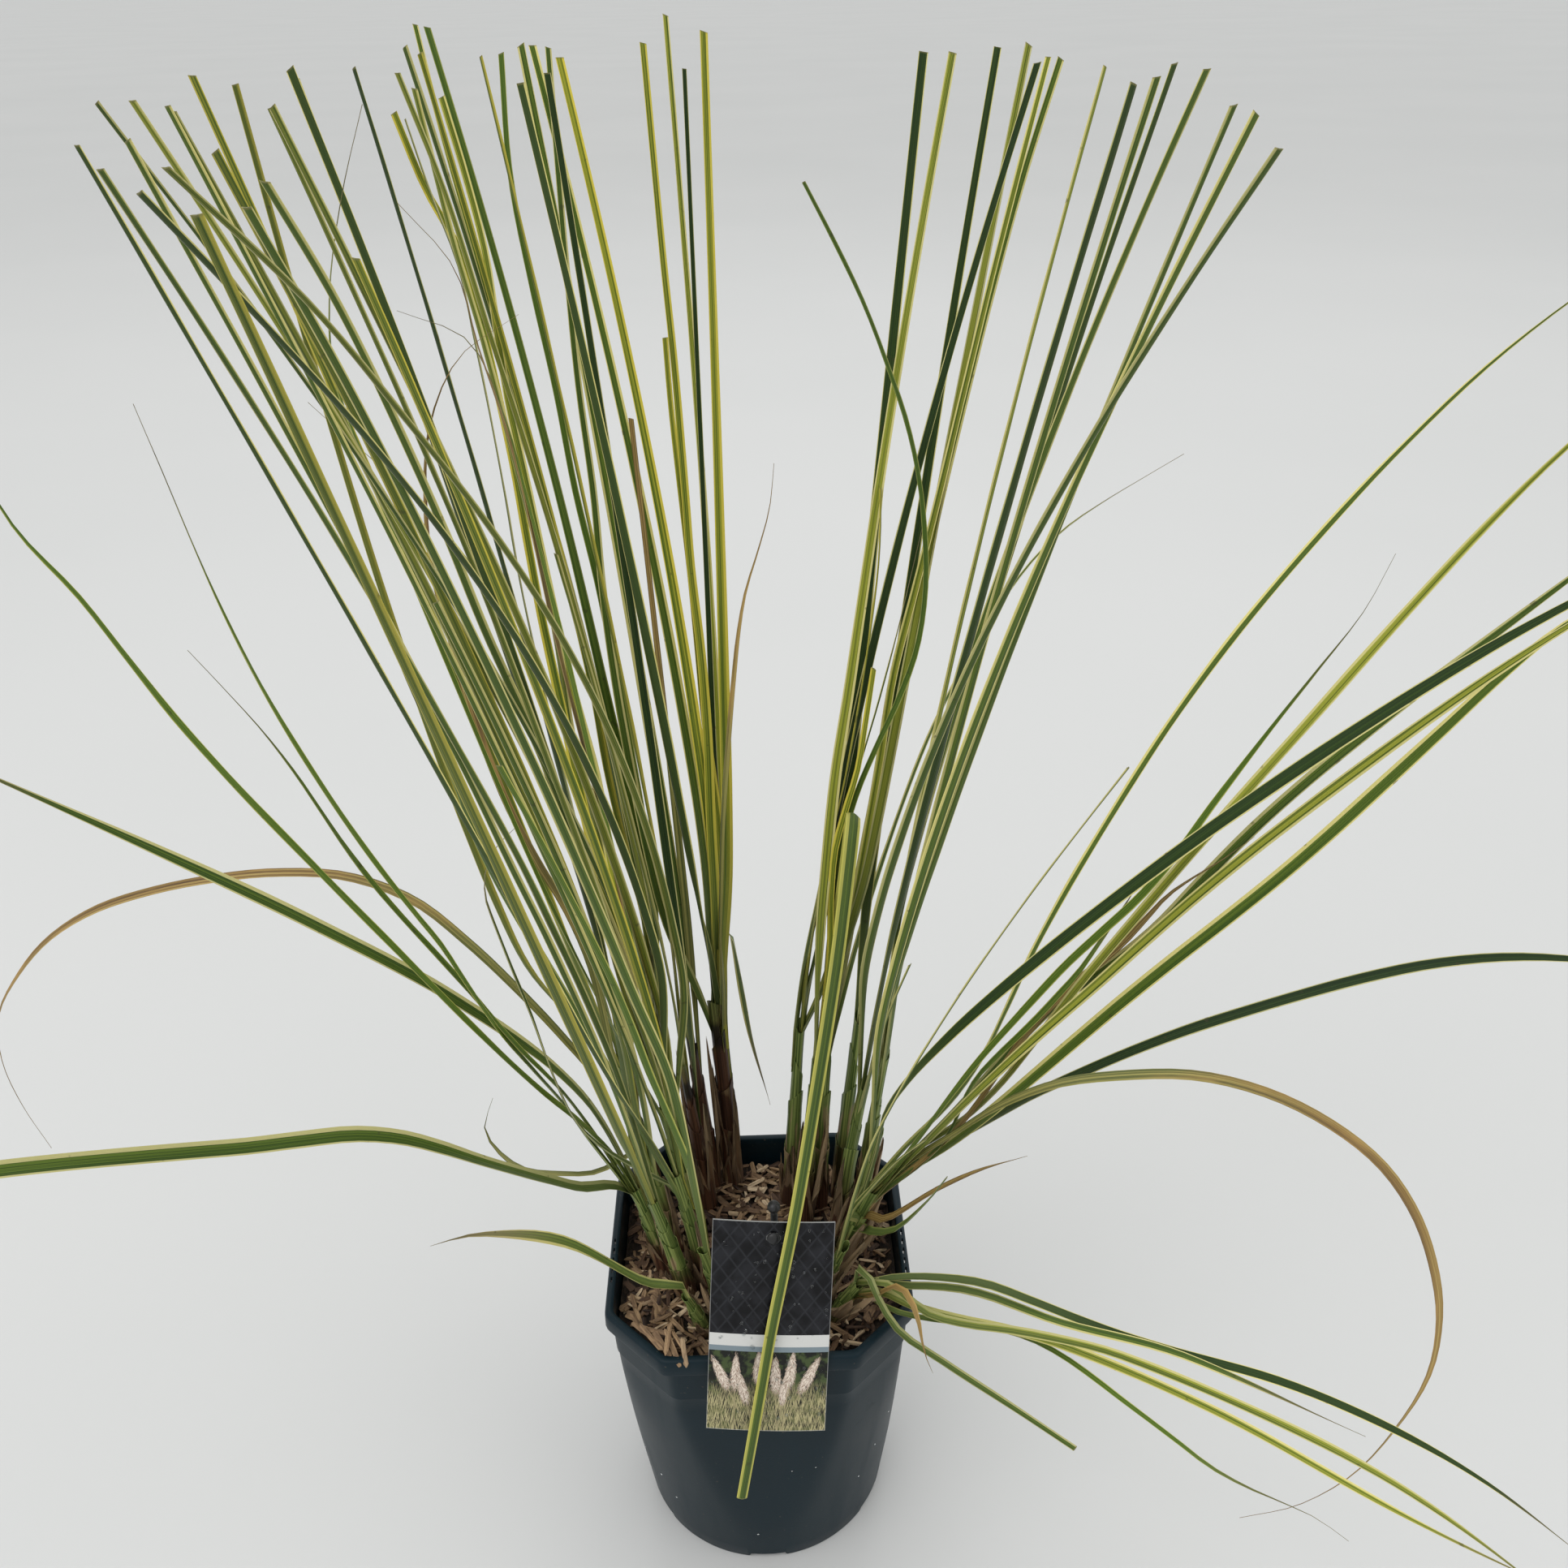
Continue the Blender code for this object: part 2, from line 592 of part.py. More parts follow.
def blade_sections(blade, swell=0.0):
    """Four points at each step: one edge, the midrib's top, the other edge, the midrib's back."""
    way, along = blade["way"], blade["along"]
    start_side = np.array(shoot_axes(blade["shoot"])[1])
    out = way[-1] - way[0]
    own_side = np.array([-out[1], out[0], 0.0])
    own_side /= max(np.linalg.norm(own_side), 1e-9)
    if np.dot(own_side, start_side) < 0:
        own_side = -own_side
    sections = []
    for i, point in enumerate(way):
        u = along[i] / along[-1]
        ahead = way[min(i + 1, len(way) - 1)] - way[max(i - 1, 0)]
        ahead /= np.linalg.norm(ahead)
        side = start_side + (own_side - start_side) * smooth_step(along[i] / SETTLE)
        side = side - ahead * np.dot(side, ahead)
        side /= np.linalg.norm(side)
        up = np.cross(ahead, side)
        twist = math.radians(blade["turn"]) * smooth_step(along[i] / (2 * SETTLE))
        wide = side * math.cos(twist) + up * math.sin(twist)
        high = up * math.cos(twist) - side * math.sin(twist)
        half = half_width(blade, u) + swell
        rise = high * FOLD * half
        thick = high * (BLADE_THICKNESS / 2 * min(1.0, 0.4 + half / (2 * MM)) + swell)
        one_edge = point - wide * half + rise
        other_edge = point + wide * half + rise
        sections.append((one_edge, point + thick, other_edge, point - thick))
    return sections


def blade_skin(sections):
    """A blade's points and triangles, split alike above and below so that the thin skin stays apart."""
    points = [Vector(p) for ring in sections for p in ring]
    faces = []
    for r in range(len(sections) - 1):
        for i in range(4):
            near, near_next = 4 * r + i, 4 * r + (i + 1) % 4
            far, far_next = near + 4, near_next + 4
            if i % 2 == 0:
                faces += [(near, near_next, far_next), (near, far_next, far)]
            else:
                faces += [(near, near_next, far), (near_next, far_next, far)]
    last = 4 * (len(sections) - 1)
    faces += [(0, 3, 1), (1, 3, 2), (last, last + 1, last + 3), (last + 1, last + 2, last + 3)]
    return points, faces


def skin_tree(blade, swell):
    return BVHTree.FromPolygons(*blade_skin(blade_sections(blade, swell)))


def step_of(hits, which, steps):
    """The step of a blade that the middle one of the faces that were hit belongs to."""
    return min(int(np.median([hit[which] for hit in hits])) // FACES_PER_STEP, steps - 1)


def spread_blades(blades, posts):
    """Bends blades aside where they would pass through each other or through a shoot."""
    names = list(blades)
    trees = {name: skin_tree(blades[name], GAP) for name in names}
    for _ in range(CLEAR_ROUNDS):
        pushes = {}
        for i, one in enumerate(names):
            for other in names[i + 1:]:
                hits = trees[one].overlap(trees[other])
                if hits:
                    lay_aside(blades, pushes, one, other, hits)
            for post in posts:
                hits = trees[one].overlap(post["tree"])
                if hits:
                    lean_off(blades, pushes, one, post, hits)
        if not pushes:
            return
        for name, push in pushes.items():
            blades[name]["way"] = blades[name]["way"] + push
            trees[name] = skin_tree(blades[name], GAP)


def add_push(blades, pushes, name, station, direction):
    """Moves a blade's middle line by one nudge at a station, less and less away from it."""
    along = blades[name]["along"]
    near = np.clip(1 - np.abs(along - along[station]) / NUDGE_REACH, 0, 1)
    near = near * near * (3 - 2 * near) * np.clip(along / ROOT_REACH, 0, 1)
    push = direction[None, :] * near[:, None] * NUDGE
    pushes[name] = pushes.get(name, 0) + push


def lay_aside(blades, pushes, one, other, hits):
    first = blades[one]["way"]
    second = blades[other]["way"]
    here = step_of(hits, 0, len(first) - 1)
    there = step_of(hits, 1, len(second) - 1)
    ahead = first[here + 1] - first[here]
    beside = second[there + 1] - second[there]
    apart = np.cross(ahead, beside)
    if np.linalg.norm(apart) < NEARLY_LEVEL * np.linalg.norm(ahead) * np.linalg.norm(beside):
        apart = (first[here] + first[here + 1]) / 2 - (second[there] + second[there + 1]) / 2
    apart /= max(np.linalg.norm(apart), 1e-9)
    gap = (first[here] + first[here + 1] - second[there] - second[there + 1]) / 2
    together = blades[one]["shoot"] == blades[other]["shoot"]
    if together and max(here, there) < STACKED_STEPS:
        apart = -np.array(shoot_axes(blades[one]["shoot"])[2])
        gap = apart
    if np.dot(gap, apart) < 0:
        apart = -apart
    add_push(blades, pushes, one, min(here + 1, len(first) - 1), apart)
    add_push(blades, pushes, other, min(there + 1, len(second) - 1), -apart)


def lean_off(blades, pushes, one, post, hits):
    way = blades[one]["way"]
    here = step_of(hits, 0, len(way) - 1)
    away = way[here] - post["axis"]
    away[2] = 0
    away /= max(np.linalg.norm(away), 1e-9)
    add_push(blades, pushes, one, min(here + 1, len(way) - 1), 2 * away)


def post_of(made):
    """A fixed piece that blades lean away from."""
    mesh = made.data
    points = [v.co.copy() for v in mesh.vertices]
    faces = [tuple(p.vertices) for p in mesh.polygons]
    axis = np.array([tuple(p) for p in points]).mean(axis=0)
    return {"tree": BVHTree.FromPolygons(points, faces), "axis": axis}


def make_blade(name, blade, finish):
    return new_object(name, *blade_skin(blade_sections(blade)), finish)


# ---- the whole ----------------------------------------------------------------------------------


def build():
    clear_scene()
    make_pot()
    make_mix()
    card = make_card()
    stake = make_stake()
    pillars = [(*shoot_root(shoot).xy, SHOOT_ROOM) for shoot in SHOOTS]
    pillars.append((*stake_foot().xy, STAKE_ROOM))
    make_mulch(pillars)
    posts = [post_of(card), post_of(stake)]
    for shoot in SHOOTS:
        posts.append(post_of(make_shoot(shoot, material(f"sheath_{shoot}", (0.30, 0.20, 0.10), 0.6))))
    blades = plan_blades()
    spread_blades(blades, posts)
    for name, blade in blades.items():
        make_blade(name, blade, material(f"leaf_{name}", (0.13, 0.22, 0.045), 0.45))


build()
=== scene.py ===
"""Looks of a potted ornamental grass clump: striped leaves, torn sheaths, wood chips, pot and care card.

Every piece rides on the one body, root. Lengths in the tables are in millimetres, in the frame's
directions: +Z up, the care card facing -Y, +X to its right."""

import math
import random

import bmesh
import bpy
import numpy as np
from mathutils import Matrix, Vector
from mathutils.bvhtree import BVHTree


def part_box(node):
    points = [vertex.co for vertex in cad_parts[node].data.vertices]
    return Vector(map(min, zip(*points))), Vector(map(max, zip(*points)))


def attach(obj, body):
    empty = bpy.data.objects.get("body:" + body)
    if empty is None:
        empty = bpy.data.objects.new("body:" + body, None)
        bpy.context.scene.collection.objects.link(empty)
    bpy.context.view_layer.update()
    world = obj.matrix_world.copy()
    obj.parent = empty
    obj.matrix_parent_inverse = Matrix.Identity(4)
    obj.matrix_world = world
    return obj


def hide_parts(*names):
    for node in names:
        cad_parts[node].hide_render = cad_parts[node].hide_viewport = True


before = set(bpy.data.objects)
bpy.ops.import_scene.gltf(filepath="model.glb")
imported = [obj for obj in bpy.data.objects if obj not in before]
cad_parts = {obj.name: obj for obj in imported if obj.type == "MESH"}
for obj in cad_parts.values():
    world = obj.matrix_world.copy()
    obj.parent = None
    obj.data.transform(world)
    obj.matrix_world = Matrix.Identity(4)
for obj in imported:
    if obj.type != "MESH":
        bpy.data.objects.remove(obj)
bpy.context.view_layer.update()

MM = 0.001
BODY = "root"

# Places and sizes of the frame's pieces
POT_WIDTH = 170 * MM
POT_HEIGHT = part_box("pot")[1][2]
CORNER_CUT = 33 * MM
FOOT_RADIUS = 72.5 * MM
WALL = 1.6 * MM
LIP_DEPTH = 11 * MM
LIP_OUT = 3.5 * MM
FLUTE = 0.135
BODY_TAPER = 0.035
MIX_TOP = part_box("potting_mix")[1][2]
MULCH_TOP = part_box("wood_chip_mulch")[1][2]
CARD_WIDTH = 63 * MM
CARD_LENGTH = 121 * MM
CARD_THICKNESS = 0.5 * MM
CARD_TOP = Vector((9.5, -62.5, 268.0)) * MM
CARD_FOOT = Vector((1.5, -99.5, 150.0)) * MM
CARD_BOW = 1.5 * MM
CARD_HOLE_DOWN = 9 * MM
CARD_HOLE_RADIUS = 2.4 * MM
STAKE_RADIUS = 1.9 * MM
STAKE_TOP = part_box("card_stake")[1][2]
STAKE_BEHIND = 5.5 * MM
QUILT_STEP = 3.6  # millimetres across half a quilted diamond
BAND_FROM = 64.5  # millimetres down the card: the bare band, the far ground, the picture
FAR_FROM = 71.5
PICTURE_FROM = 74.5
CARD_RIM = 0.4  # millimetres of unprinted rim at the card's two ends
GAP = 0.3 * MM

# Each kind of piece draws its own chances, so that the same pieces come out on every run
CHIP_SEED, HUSK_SEED, LEAF_SEED, DROP_SEED, SHEATH_SEED = 11, 5, 3, 21, 2

# Shoots: root x, y on the mix, then how far the shoot leans by its collar, and the collar's height
SHOOTS = {
    "a": ((-30, -19), (-12, -8), 262),
    "b": ((-41, -26), (-13, -12), 255),
    "c": ((-36, 18), (-14, -8), 275),
    "d": ((-64, 50), (-11, -9), 280),
    "e": ((-15, 63), (-6, 5), 300),
    "f": ((-46, 67), (-9, 4), 290),
    "g": ((20, 45), (7, 0), 300),
    "h": ((36, 41), (7, 4), 310),
    "i": ((47, 17), (14, -4), 285),
    "j": ((61, 33), (13, -2), 290),
    "k": ((44, -10), (20, -3), 235),
    "l": ((40, -45), (14, -5), 204),
    "m": ((-30, -50), (-9, -4), 202),
    "n": ((-54, -3), (-13, -2), 232),
}

# Slimmer shoots among them, which only the looks need: root, lean and collar height, as above
TILLERS = {
    "o": ((-28, 59), (-9, 2), 296),
    "p": ((-31, 46), (-9, -2), 276),
    "q": ((27, 29), (8, -2), 292),
    "r": ((53, 4), (15, -4), 262),
    "s": ((-50, 12), (-14, -6), 262),
    "t": ((-20, -36), (-9, -9), 226),
    "u": ((-60, 31), (-13, -8), 268),
    "v": ((34, -28), (13, -6), 214),
    "w": ((50, 48), (10, 2), 300),
}

# Trimmed blades: shoot, cut end, curl (1 is straight, more bends it out late), sway sideways,
# width, and turn of the face in degrees
TRIMMED = (
    ("a", (-170, -170, 790), 1.1, 0, 5.0, 15),
    ("a", (-165, -110, 795), 1.3, 0, 5.0, 40),
    ("a", (-118, -100, 748), 1.5, 3, 7.0, 25),
    ("b", (-153, -200, 787), 1.6, -12, 4.6, 20),
    ("b", (-160, -160, 790), 1.3, -3, 4.6, 35),
    ("b", (-117, -240, 781), 1.1, -3, 6.5, 15),
    ("c", (-129, -240, 786), 2.3, 0, 5.0, 10),
    ("c", (-179, -100, 796), 1.6, 0, 5.0, 45),
    ("d", (-171, -90, 792), 1.5, 0, 5.5, 40),
    ("d", (-176, -50, 800), 1.2, 0, 5.5, 50),
    ("d", (-151, -20, 800), 1.6, -3, 6.5, 60),
    ("e", (-78, 40, 790), 1.5, 0, 7.0, 50),
    ("e", (-82, 120, 800), 1.6, -9, 7.0, -30),
    ("e", (-68, 100, 796), 1.9, -9, 7.0, -60),
    ("e", (-24, 150, 810), 0.8, -6, 5.5, 20),
    ("e", (-6, 120, 804), 1.4, -3, 7.0, 10),
    ("f", (-130, 80, 802), 1.7, -3, 7.0, 65),
    ("f", (-127, 120, 808), 2.0, 3, 6.0, -60),
    ("h", (87, 80, 796), 1.4, -3, 8.0, 40),
    ("g", (132, 60, 792), 1.7, -3, 7.0, 40),
    ("h", (135, 100, 797), 1.4, -9, 7.0, 30),
    ("i", (153, -20, 789), 1.3, -3, 7.5, -45),
    ("j", (185, 0, 792), 1.8, 0, 6.5, -60),
    ("i", (172, -80, 786), 1.3, -6, 5.5, -35),
    ("i", (165, -150, 780), 2.0, -3, 6.0, -20),
)

# Arching blades: shoot, width, turn, blunt or pointed end, and the way they take from the collar
ARCHING = (
    ("g", 4.0, 10, "blunt", (
        (40, 38, 380), (58, 38, 460), (88, 40, 545), (86, 45, 625), (62, 48, 697), (35, 50, 750)
    )),
    ("g", 7.5, -20, "blunt", (
        (44, 42, 345), (52, 30, 420), (55, 8, 474), (52, -10, 462), (43, -27, 395), (22, -67, 285),
        (8, -86, 222), (-3, -103, 165), (-12, -115, 118)
    )),
    ("k", 6.0, 20, "point", (
        (116, -10, 312), (153, -20, 430), (210, -35, 568), (286, -55, 690), (365, -75, 765)
    )),
    ("k", 6.0, 40, "point", (
        (120, -18, 298), (170, -32, 400), (230, -58, 525), (305, -92, 672), (370, -125, 752)
    )),
    ("k", 7.0, 50, "point", (
        (75, -30, 318), (125, -45, 400), (215, -75, 515), (310, -110, 618), (400, -150, 690)
    )),
    ("k", 6.5, 30, "point", (
        (118, -8, 274), (160, -20, 315), (235, -35, 367), (340, -52, 412), (430, -70, 412),
        (485, -90, 378)
    )),
    ("k", 5.5, 50, "point", (
        (113, -28, 296), (155, -37, 330), (232, -55, 346), (302, -72, 314), (341, -86, 255),
        (350, -100, 180), (306, -120, 118), (250, -132, 112)
    )),
    ("l", 6.0, 10, "point", (
        (80, -55, 212), (115, -67, 222), (195, -87, 198), (280, -110, 183), (360, -135, 150),
        (435, -160, 96)
    )),
    ("l", 6.0, 0, "point", (
        (90, -78, 210), (130, -95, 217), (190, -115, 215), (300, -163, 187), (400, -212, 130)
    )),
    ("l", 5.0, -10, "blunt", (
        (75, -77, 197), (95, -95, 195), (128, -118, 188), (155, -142, 187)
    )),
    ("m", 7.5, -60, "point", (
        (-60, -60, 220), (-95, -80, 275), (-130, -100, 304), (-152, -111, 309)
    )),
    ("n", 8.0, -50, "blunt", (
        (-86, -26, 256), (-125, -57, 304), (-170, -93, 362), (-215, -133, 395), (-275, -198, 448),
        (-330, -245, 478)
    )),
    ("n", 7.0, -50, "point", (
        (-95, -12, 318), (-145, -20, 382), (-200, -30, 435), (-260, -45, 490), (-350, -75, 575)
    )),
    ("n", 5.5, -20, "point", (
        (-85, -14, 283), (-120, -24, 340), (-165, -33, 420), (-230, -43, 537), (-258, -55, 612),
        (-276, -62, 655), (-288, -72, 745)
    )),
    ("n", 5.0, -45, "point", (
        (-85, 12, 297), (-130, 20, 367), (-185, 30, 418), (-260, 35, 425), (-355, 45, 395),
        (-415, 52, 335), (-430, 56, 280), (-422, 60, 220)
    )),
)


ALL_SHOOTS = {**SHOOTS, **TILLERS}

# Leaves that only the looks need. Upright: shoot, end, curl, sway, width, turn, how far up the shoot
# it leaves its sheath, and finish
FILLING = (
    ("c", (-182, -120, 797), 1.8, 3, 3.6, 40, 0.9, "edged"),
    ("c", (-133, -210, 788), 2.6, 9, 4.6, 20, 0.8, "striped"),
    ("d", (-162, -50, 797), 0.8, -27, 5.0, 50, 0.9, "gold"),
    ("f", (-124, 30, 794), 1.9, 0, 5.5, 40, 0.7, "striped"),
    ("f", (-126, 80, 805), 1.6, 0, 4.5, -60, 0.9, "edged"),
    ("f", (-122, 70, 800), 1.6, 0, 5.5, -50, 0.8, "gold"),
    ("f", (-104, 90, 799), 2.1, 0, 5.0, -60, 0.9, "plain"),
    ("e", (-75, 120, 799), 1.3, 30, 5.5, -40, 0.8, "edged"),
    ("e", (-33, 120, 800), 1.7, 0, 6.0, -20, 0.9, "gold"),
    ("e", (-29, 100, 673), 1.4, -3, 5.5, -10, 0.7, "gold"),
    ("e", (-15, 110, 790), 1.2, 0, 4.0, 10, 0.8, "dark"),
    ("h", (140, 80, 793), 1.4, 3, 6.0, 30, 0.8, "striped"),
    ("j", (161, -20, 791), 1.4, 0, 6.0, -60, 0.8, "edged"),
    ("j", (178, 20, 793), 1.5, -3, 6.0, -60, 0.9, "dark"),
    ("h", (150, 120, 790), 1.5, 0, 6.5, 40, 0.7, "edged"),
    ("d", (-150, 70, 795), 1.4, 0, 6.5, 60, 0.8, "dark"),
    ("j", (160, 60, 790), 1.5, 0, 6.5, -60, 0.7, "striped"),
    ("c", (-150, -60, 790), 1.7, 6, 6.5, 35, 0.6, "striped"),
    ("c", (-140, -100, 780), 1.5, -8, 6.5, 30, 0.7, "edged"),
    ("a", (-150, -50, 790), 1.4, 10, 6.5, 40, 0.6, "striped"),
    ("d", (-120, 40, 790), 1.8, 8, 6.5, 50, 0.7, "striped"),
    ("o", (-88, 128, 800), 1.5, 0, 7.0, -40, 0.9, "edged"),
    ("o", (-48, 96, 640), 1.3, 0, 5.0, -30, 0.7, "dry_tip"),
    ("p", (-98, 74, 798), 1.5, 0, 7.0, 55, 0.9, "gold"),
    ("p", (-70, 66, 792), 1.4, 0, 6.0, -45, 0.5, "dark"),
    ("q", (98, 70, 796), 1.6, 0, 7.0, 45, 0.9, "striped"),
    ("q", (66, 40, 530), 1.3, 0, 6.0, 45, 0.5, "gold"),
    ("r", (170, -110, 786), 1.7, 0, 6.0, -40, 0.8, "edged"),
    ("s", (-160, -90, 780), 1.5, 0, 7.0, 35, 0.9, "gold"),
    ("t", (-122, -180, 775), 1.4, 0, 6.5, 25, 0.9, "edged"),
    ("u", (-158, 10, 795), 1.5, 0, 7.0, 50, 0.9, "dark"),
    ("v", (150, -120, 560), 1.4, 0, 5.0, 0, 0.9, "edged"),
    ("w", (122, 104, 796), 1.4, 0, 7.0, 35, 0.9, "dark"),
    ("s", (-118, -58, 610), 1.5, 4, 6.5, 35, 0.6, "edged"),
    ("t", (-92, -104, 560), 1.4, 4, 6.0, 30, 0.6, "plain"),
    ("p", (-84, 48, 590), 1.5, 0, 6.0, 50, 0.6, "striped"),
)

# Bending: shoot, width, turn, blunt or pointed end, height along the shoot, finish, and the way
TRAILING = (
    ("f", 6.5, -50, "cut", 0.9, "gold", (
        (-67, 10, 398), (-79, 22, 464), (-93, 43, 568), (-103, 60, 649), (-124, 90, 780)
    )),
    ("f", 6.5, -50, "cut", 0.8, "striped", (
        (-63, 30, 384), (-75, 39, 454), (-89, 54, 564), (-100, 67, 647), (-120, 91, 782)
    )),
    ("c", 6.5, 50, "cut", 0.8, "striped", (
        (-71, 0, 406), (-84, 12, 479), (-98, 29, 574), (-106, 45, 653), (-123, 71, 780)
    )),
    ("c", 5.8, -40, "point", 0.7, "plain", (
        (-95, -10, 430), (-125, -20, 560), (-145, -30, 660), (-150, -35, 700), (-145, -40, 725),
        (-130, -45, 770), (-120, -50, 790)
    )),
    ("c", 5.4, -40, "point", 0.8, "dry", (
        (-62, 5, 420), (-80, 0, 560), (-90, -8, 660), (-106, -15, 724), (-128, -20, 750)
    )),
    ("n", 4.0, -40, "point", 0.8, "dry_tip", (
        (-80, -5, 390), (-108, -8, 480), (-125, -10, 560), (-135, 0, 610), (-125, 10, 665),
        (-110, 15, 690), (-85, 20, 705)
    )),
    ("c", 4.8, -40, "point", 0.7, "plain", (
        (-65, 5, 450), (-82, -2, 600), (-94, -10, 683), (-110, -18, 700), (-126, -25, 707)
    )),
    ("a", 5.8, 30, "point", 0.7, "plain", (
        (-70, -40, 350), (-109, -60, 480), (-116, -78, 540), (-124, -98, 597), (-128, -120, 654)
    )),
    ("a", 5.0, -30, "point", 0.8, "edged", (
        (-90, -25, 300), (-109, -30, 385), (-116, -40, 436), (-118, -46, 462), (-112, -52, 486),
        (-98, -60, 505)
    )),
    ("g", 6.0, -20, "cut", 0.9, "gold", (
        (34, 42, 360), (46, 41, 432), (60, 43, 515), (68, 46, 579), (69, 50, 617)
    )),
    ("g", 5.0, -30, "point", 0.8, "edged", (
        (33, 47, 340), (56, 50, 447), (77, 56, 534), (91, 62, 597)
    )),
    ("k", 6.5, 40, "point", 0.9, "edged", (
        (112, -18, 300), (180, -30, 395), (245, -45, 500), (330, -70, 610), (400, -90, 690)
    )),
    ("k", 6.0, 50, "point", 0.8, "striped", (
        (100, -22, 290), (165, -35, 385), (240, -55, 490), (330, -85, 600), (410, -112, 665)
    )),
    ("k", 7.5, 50, "point", 0.8, "edged", (
        (120, -15, 285), (195, -20, 375), (260, -30, 455), (320, -35, 535), (355, -40, 580),
        (430, -55, 640)
    )),
    ("k", 4.8, 40, "point", 0.7, "plain", (
        (110, -20, 320), (170, -38, 430), (223, -50, 525), (235, -61, 561), (248, -69, 587),
        (254, -80, 620)
    )),
    ("k", 5.1, 40, "point", 0.7, "dry", (
        (105, -20, 290), (145, -25, 350), (185, -30, 413), (200, -37, 445), (232, -50, 492)
    )),
    ("k", 4.5, 40, "point", 0.8, "plain", (
        (110, -18, 310), (150, -25, 370), (177, -30, 422), (184, -40, 474)
    )),
    ("l", 6.0, 0, "point", 0.8, "edged", (
        (75, -55, 208), (115, -65, 214), (155, -80, 212), (225, -100, 196), (310, -125, 165)
    )),
    ("l", 6.5, -5, "point", 0.7, "striped", (
        (90, -72, 206), (150, -95, 208), (230, -125, 188), (320, -160, 150), (400, -185, 118)
    )),
    ("l", 4.0, -10, "point", 0.6, "plain", (
        (75, -66, 200), (140, -90, 205), (190, -130, 195), (250, -185, 180), (265, -200, 175)
    )),
    ("k", 5.4, 0, "point", 0.6, "dry", (
        (70, -25, 227), (95, -38, 260), (118, -49, 285), (138, -60, 304)
    )),
    ("l", 4.2, 0, "point", 0.6, "dry", (
        (71, -60, 226), (85, -73, 223), (95, -86, 208), (100, -90, 198)
    )),
    ("n", 5.0, -30, "point", 0.9, "plain", (
        (-85, -10, 270), (-130, -25, 385), (-170, -45, 490), (-195, -65, 590), (-205, -90, 700)
    )),
    ("n", 4.8, -30, "point", 0.8, "plain", (
        (-95, -15, 310), (-140, -28, 400), (-172, -40, 470), (-192, -62, 549), (-211, -80, 602)
    )),
    ("d", 4.0, -40, "point", 0.3, "dry_tip", (
        (-90, 30, 215), (-110, 22, 222), (-140, 35, 216), (-160, 50, 230), (-155, 60, 248)
    )),
    ("e", 6.0, 20, "point", 0.8, "dry_tip", (
        (-16, 52, 370), (-11, 42, 451), (-4, 50, 515), (3, 58, 559), (16, 65, 598), (20, 70, 624)
    )),
    ("e", 6.0, 0, "point", 0.9, "edged", (
        (-17, 74, 340), (-13, 80, 352), (-8, 84, 330), (-2, 88, 270), (9, 94, 205)
    )),
    ("k", 7.0, -20, "cut", 0.6, "edged", (
        (53, -24, 235), (73, -34, 276), (89, -42, 300)
    )),
    ("k", 6.0, -10, "cut", 0.5, "plain", (
        (74, -34, 232), (90, -43, 258), (99, -52, 283)
    )),
    ("i", 6.5, -20, "cut", 0.8, "edged", (
        (66, 4, 320), (74, 1, 352), (83, -2, 382)
    )),
    ("f", 5.5, 20, "point", 0.7, "edged", (
        (-70, 90, 360), (-100, 112, 470), (-150, 130, 570), (-215, 142, 640)
    )),
    ("h", 5.5, -20, "point", 0.7, "edged", (
        (70, 70, 380), (110, 100, 480), (165, 125, 560), (240, 140, 600)
    )),
)

# Finish of each leaf that the frame has, in the order of its name; "edged" where none is given
LEAF_FINISH = {
    "a1": "gold", "a2": "edged", "a3": "dark", "b1": "edged", "b2": "edged", "b3": "gold", "c1": "dark",
    "c2": "striped", "d1": "dark", "d2": "striped", "d3": "gold", "e1": "gold", "e2": "dark", "e3": "gold",
    "e4": "edged", "e5": "striped", "f1": "plain", "f2": "edged", "g1": "dark", "g2": "plain", "g3": "broad",
    "h1": "dark", "h2": "striped", "i1": "edged", "i2": "dark", "i3": "edged", "j1": "edged", "k1": "dark",
    "k2": "edged", "k3": "striped", "k4": "dry_tip", "k5": "dark", "l1": "edged", "l2": "striped",
    "l3": "dark", "m1": "edged", "n1": "dry_tip", "n2": "edged", "n3": "plain", "n4": "edged",
}

SHOOT_CURL = 1.3
SHOOT_DEPTH = 4.4 * MM
BLADE_THICKNESS = 0.55 * MM
FOLD = 0.3
STACK = 1.7 * MM
COLLAR_GAP = 1.0 * MM
ORDER_REACH = 100 * MM
SETTLE = 120 * MM
TRIMMED_STEPS = 11
ARCHING_STEPS = 17
CLEAR_ROUNDS = 120
MORE_ROUNDS = 24
NUDGE = 0.7 * MM
NUDGE_REACH = 70 * MM
ROOT_REACH = 25 * MM
LEAF_STEP = 9 * MM  # between the cross-sections of a finished leaf
LEAF_SIDES = 8  # strips across a finished leaf
TUCK = 26 * MM  # of a leaf hidden in its sheath
CURVE_STEPS = 24  # between two stops of a line
STEP_FACES = 8  # faces of a plain skin between two points of its line


# ---- finishes -----------------------------------------------------------------------------------


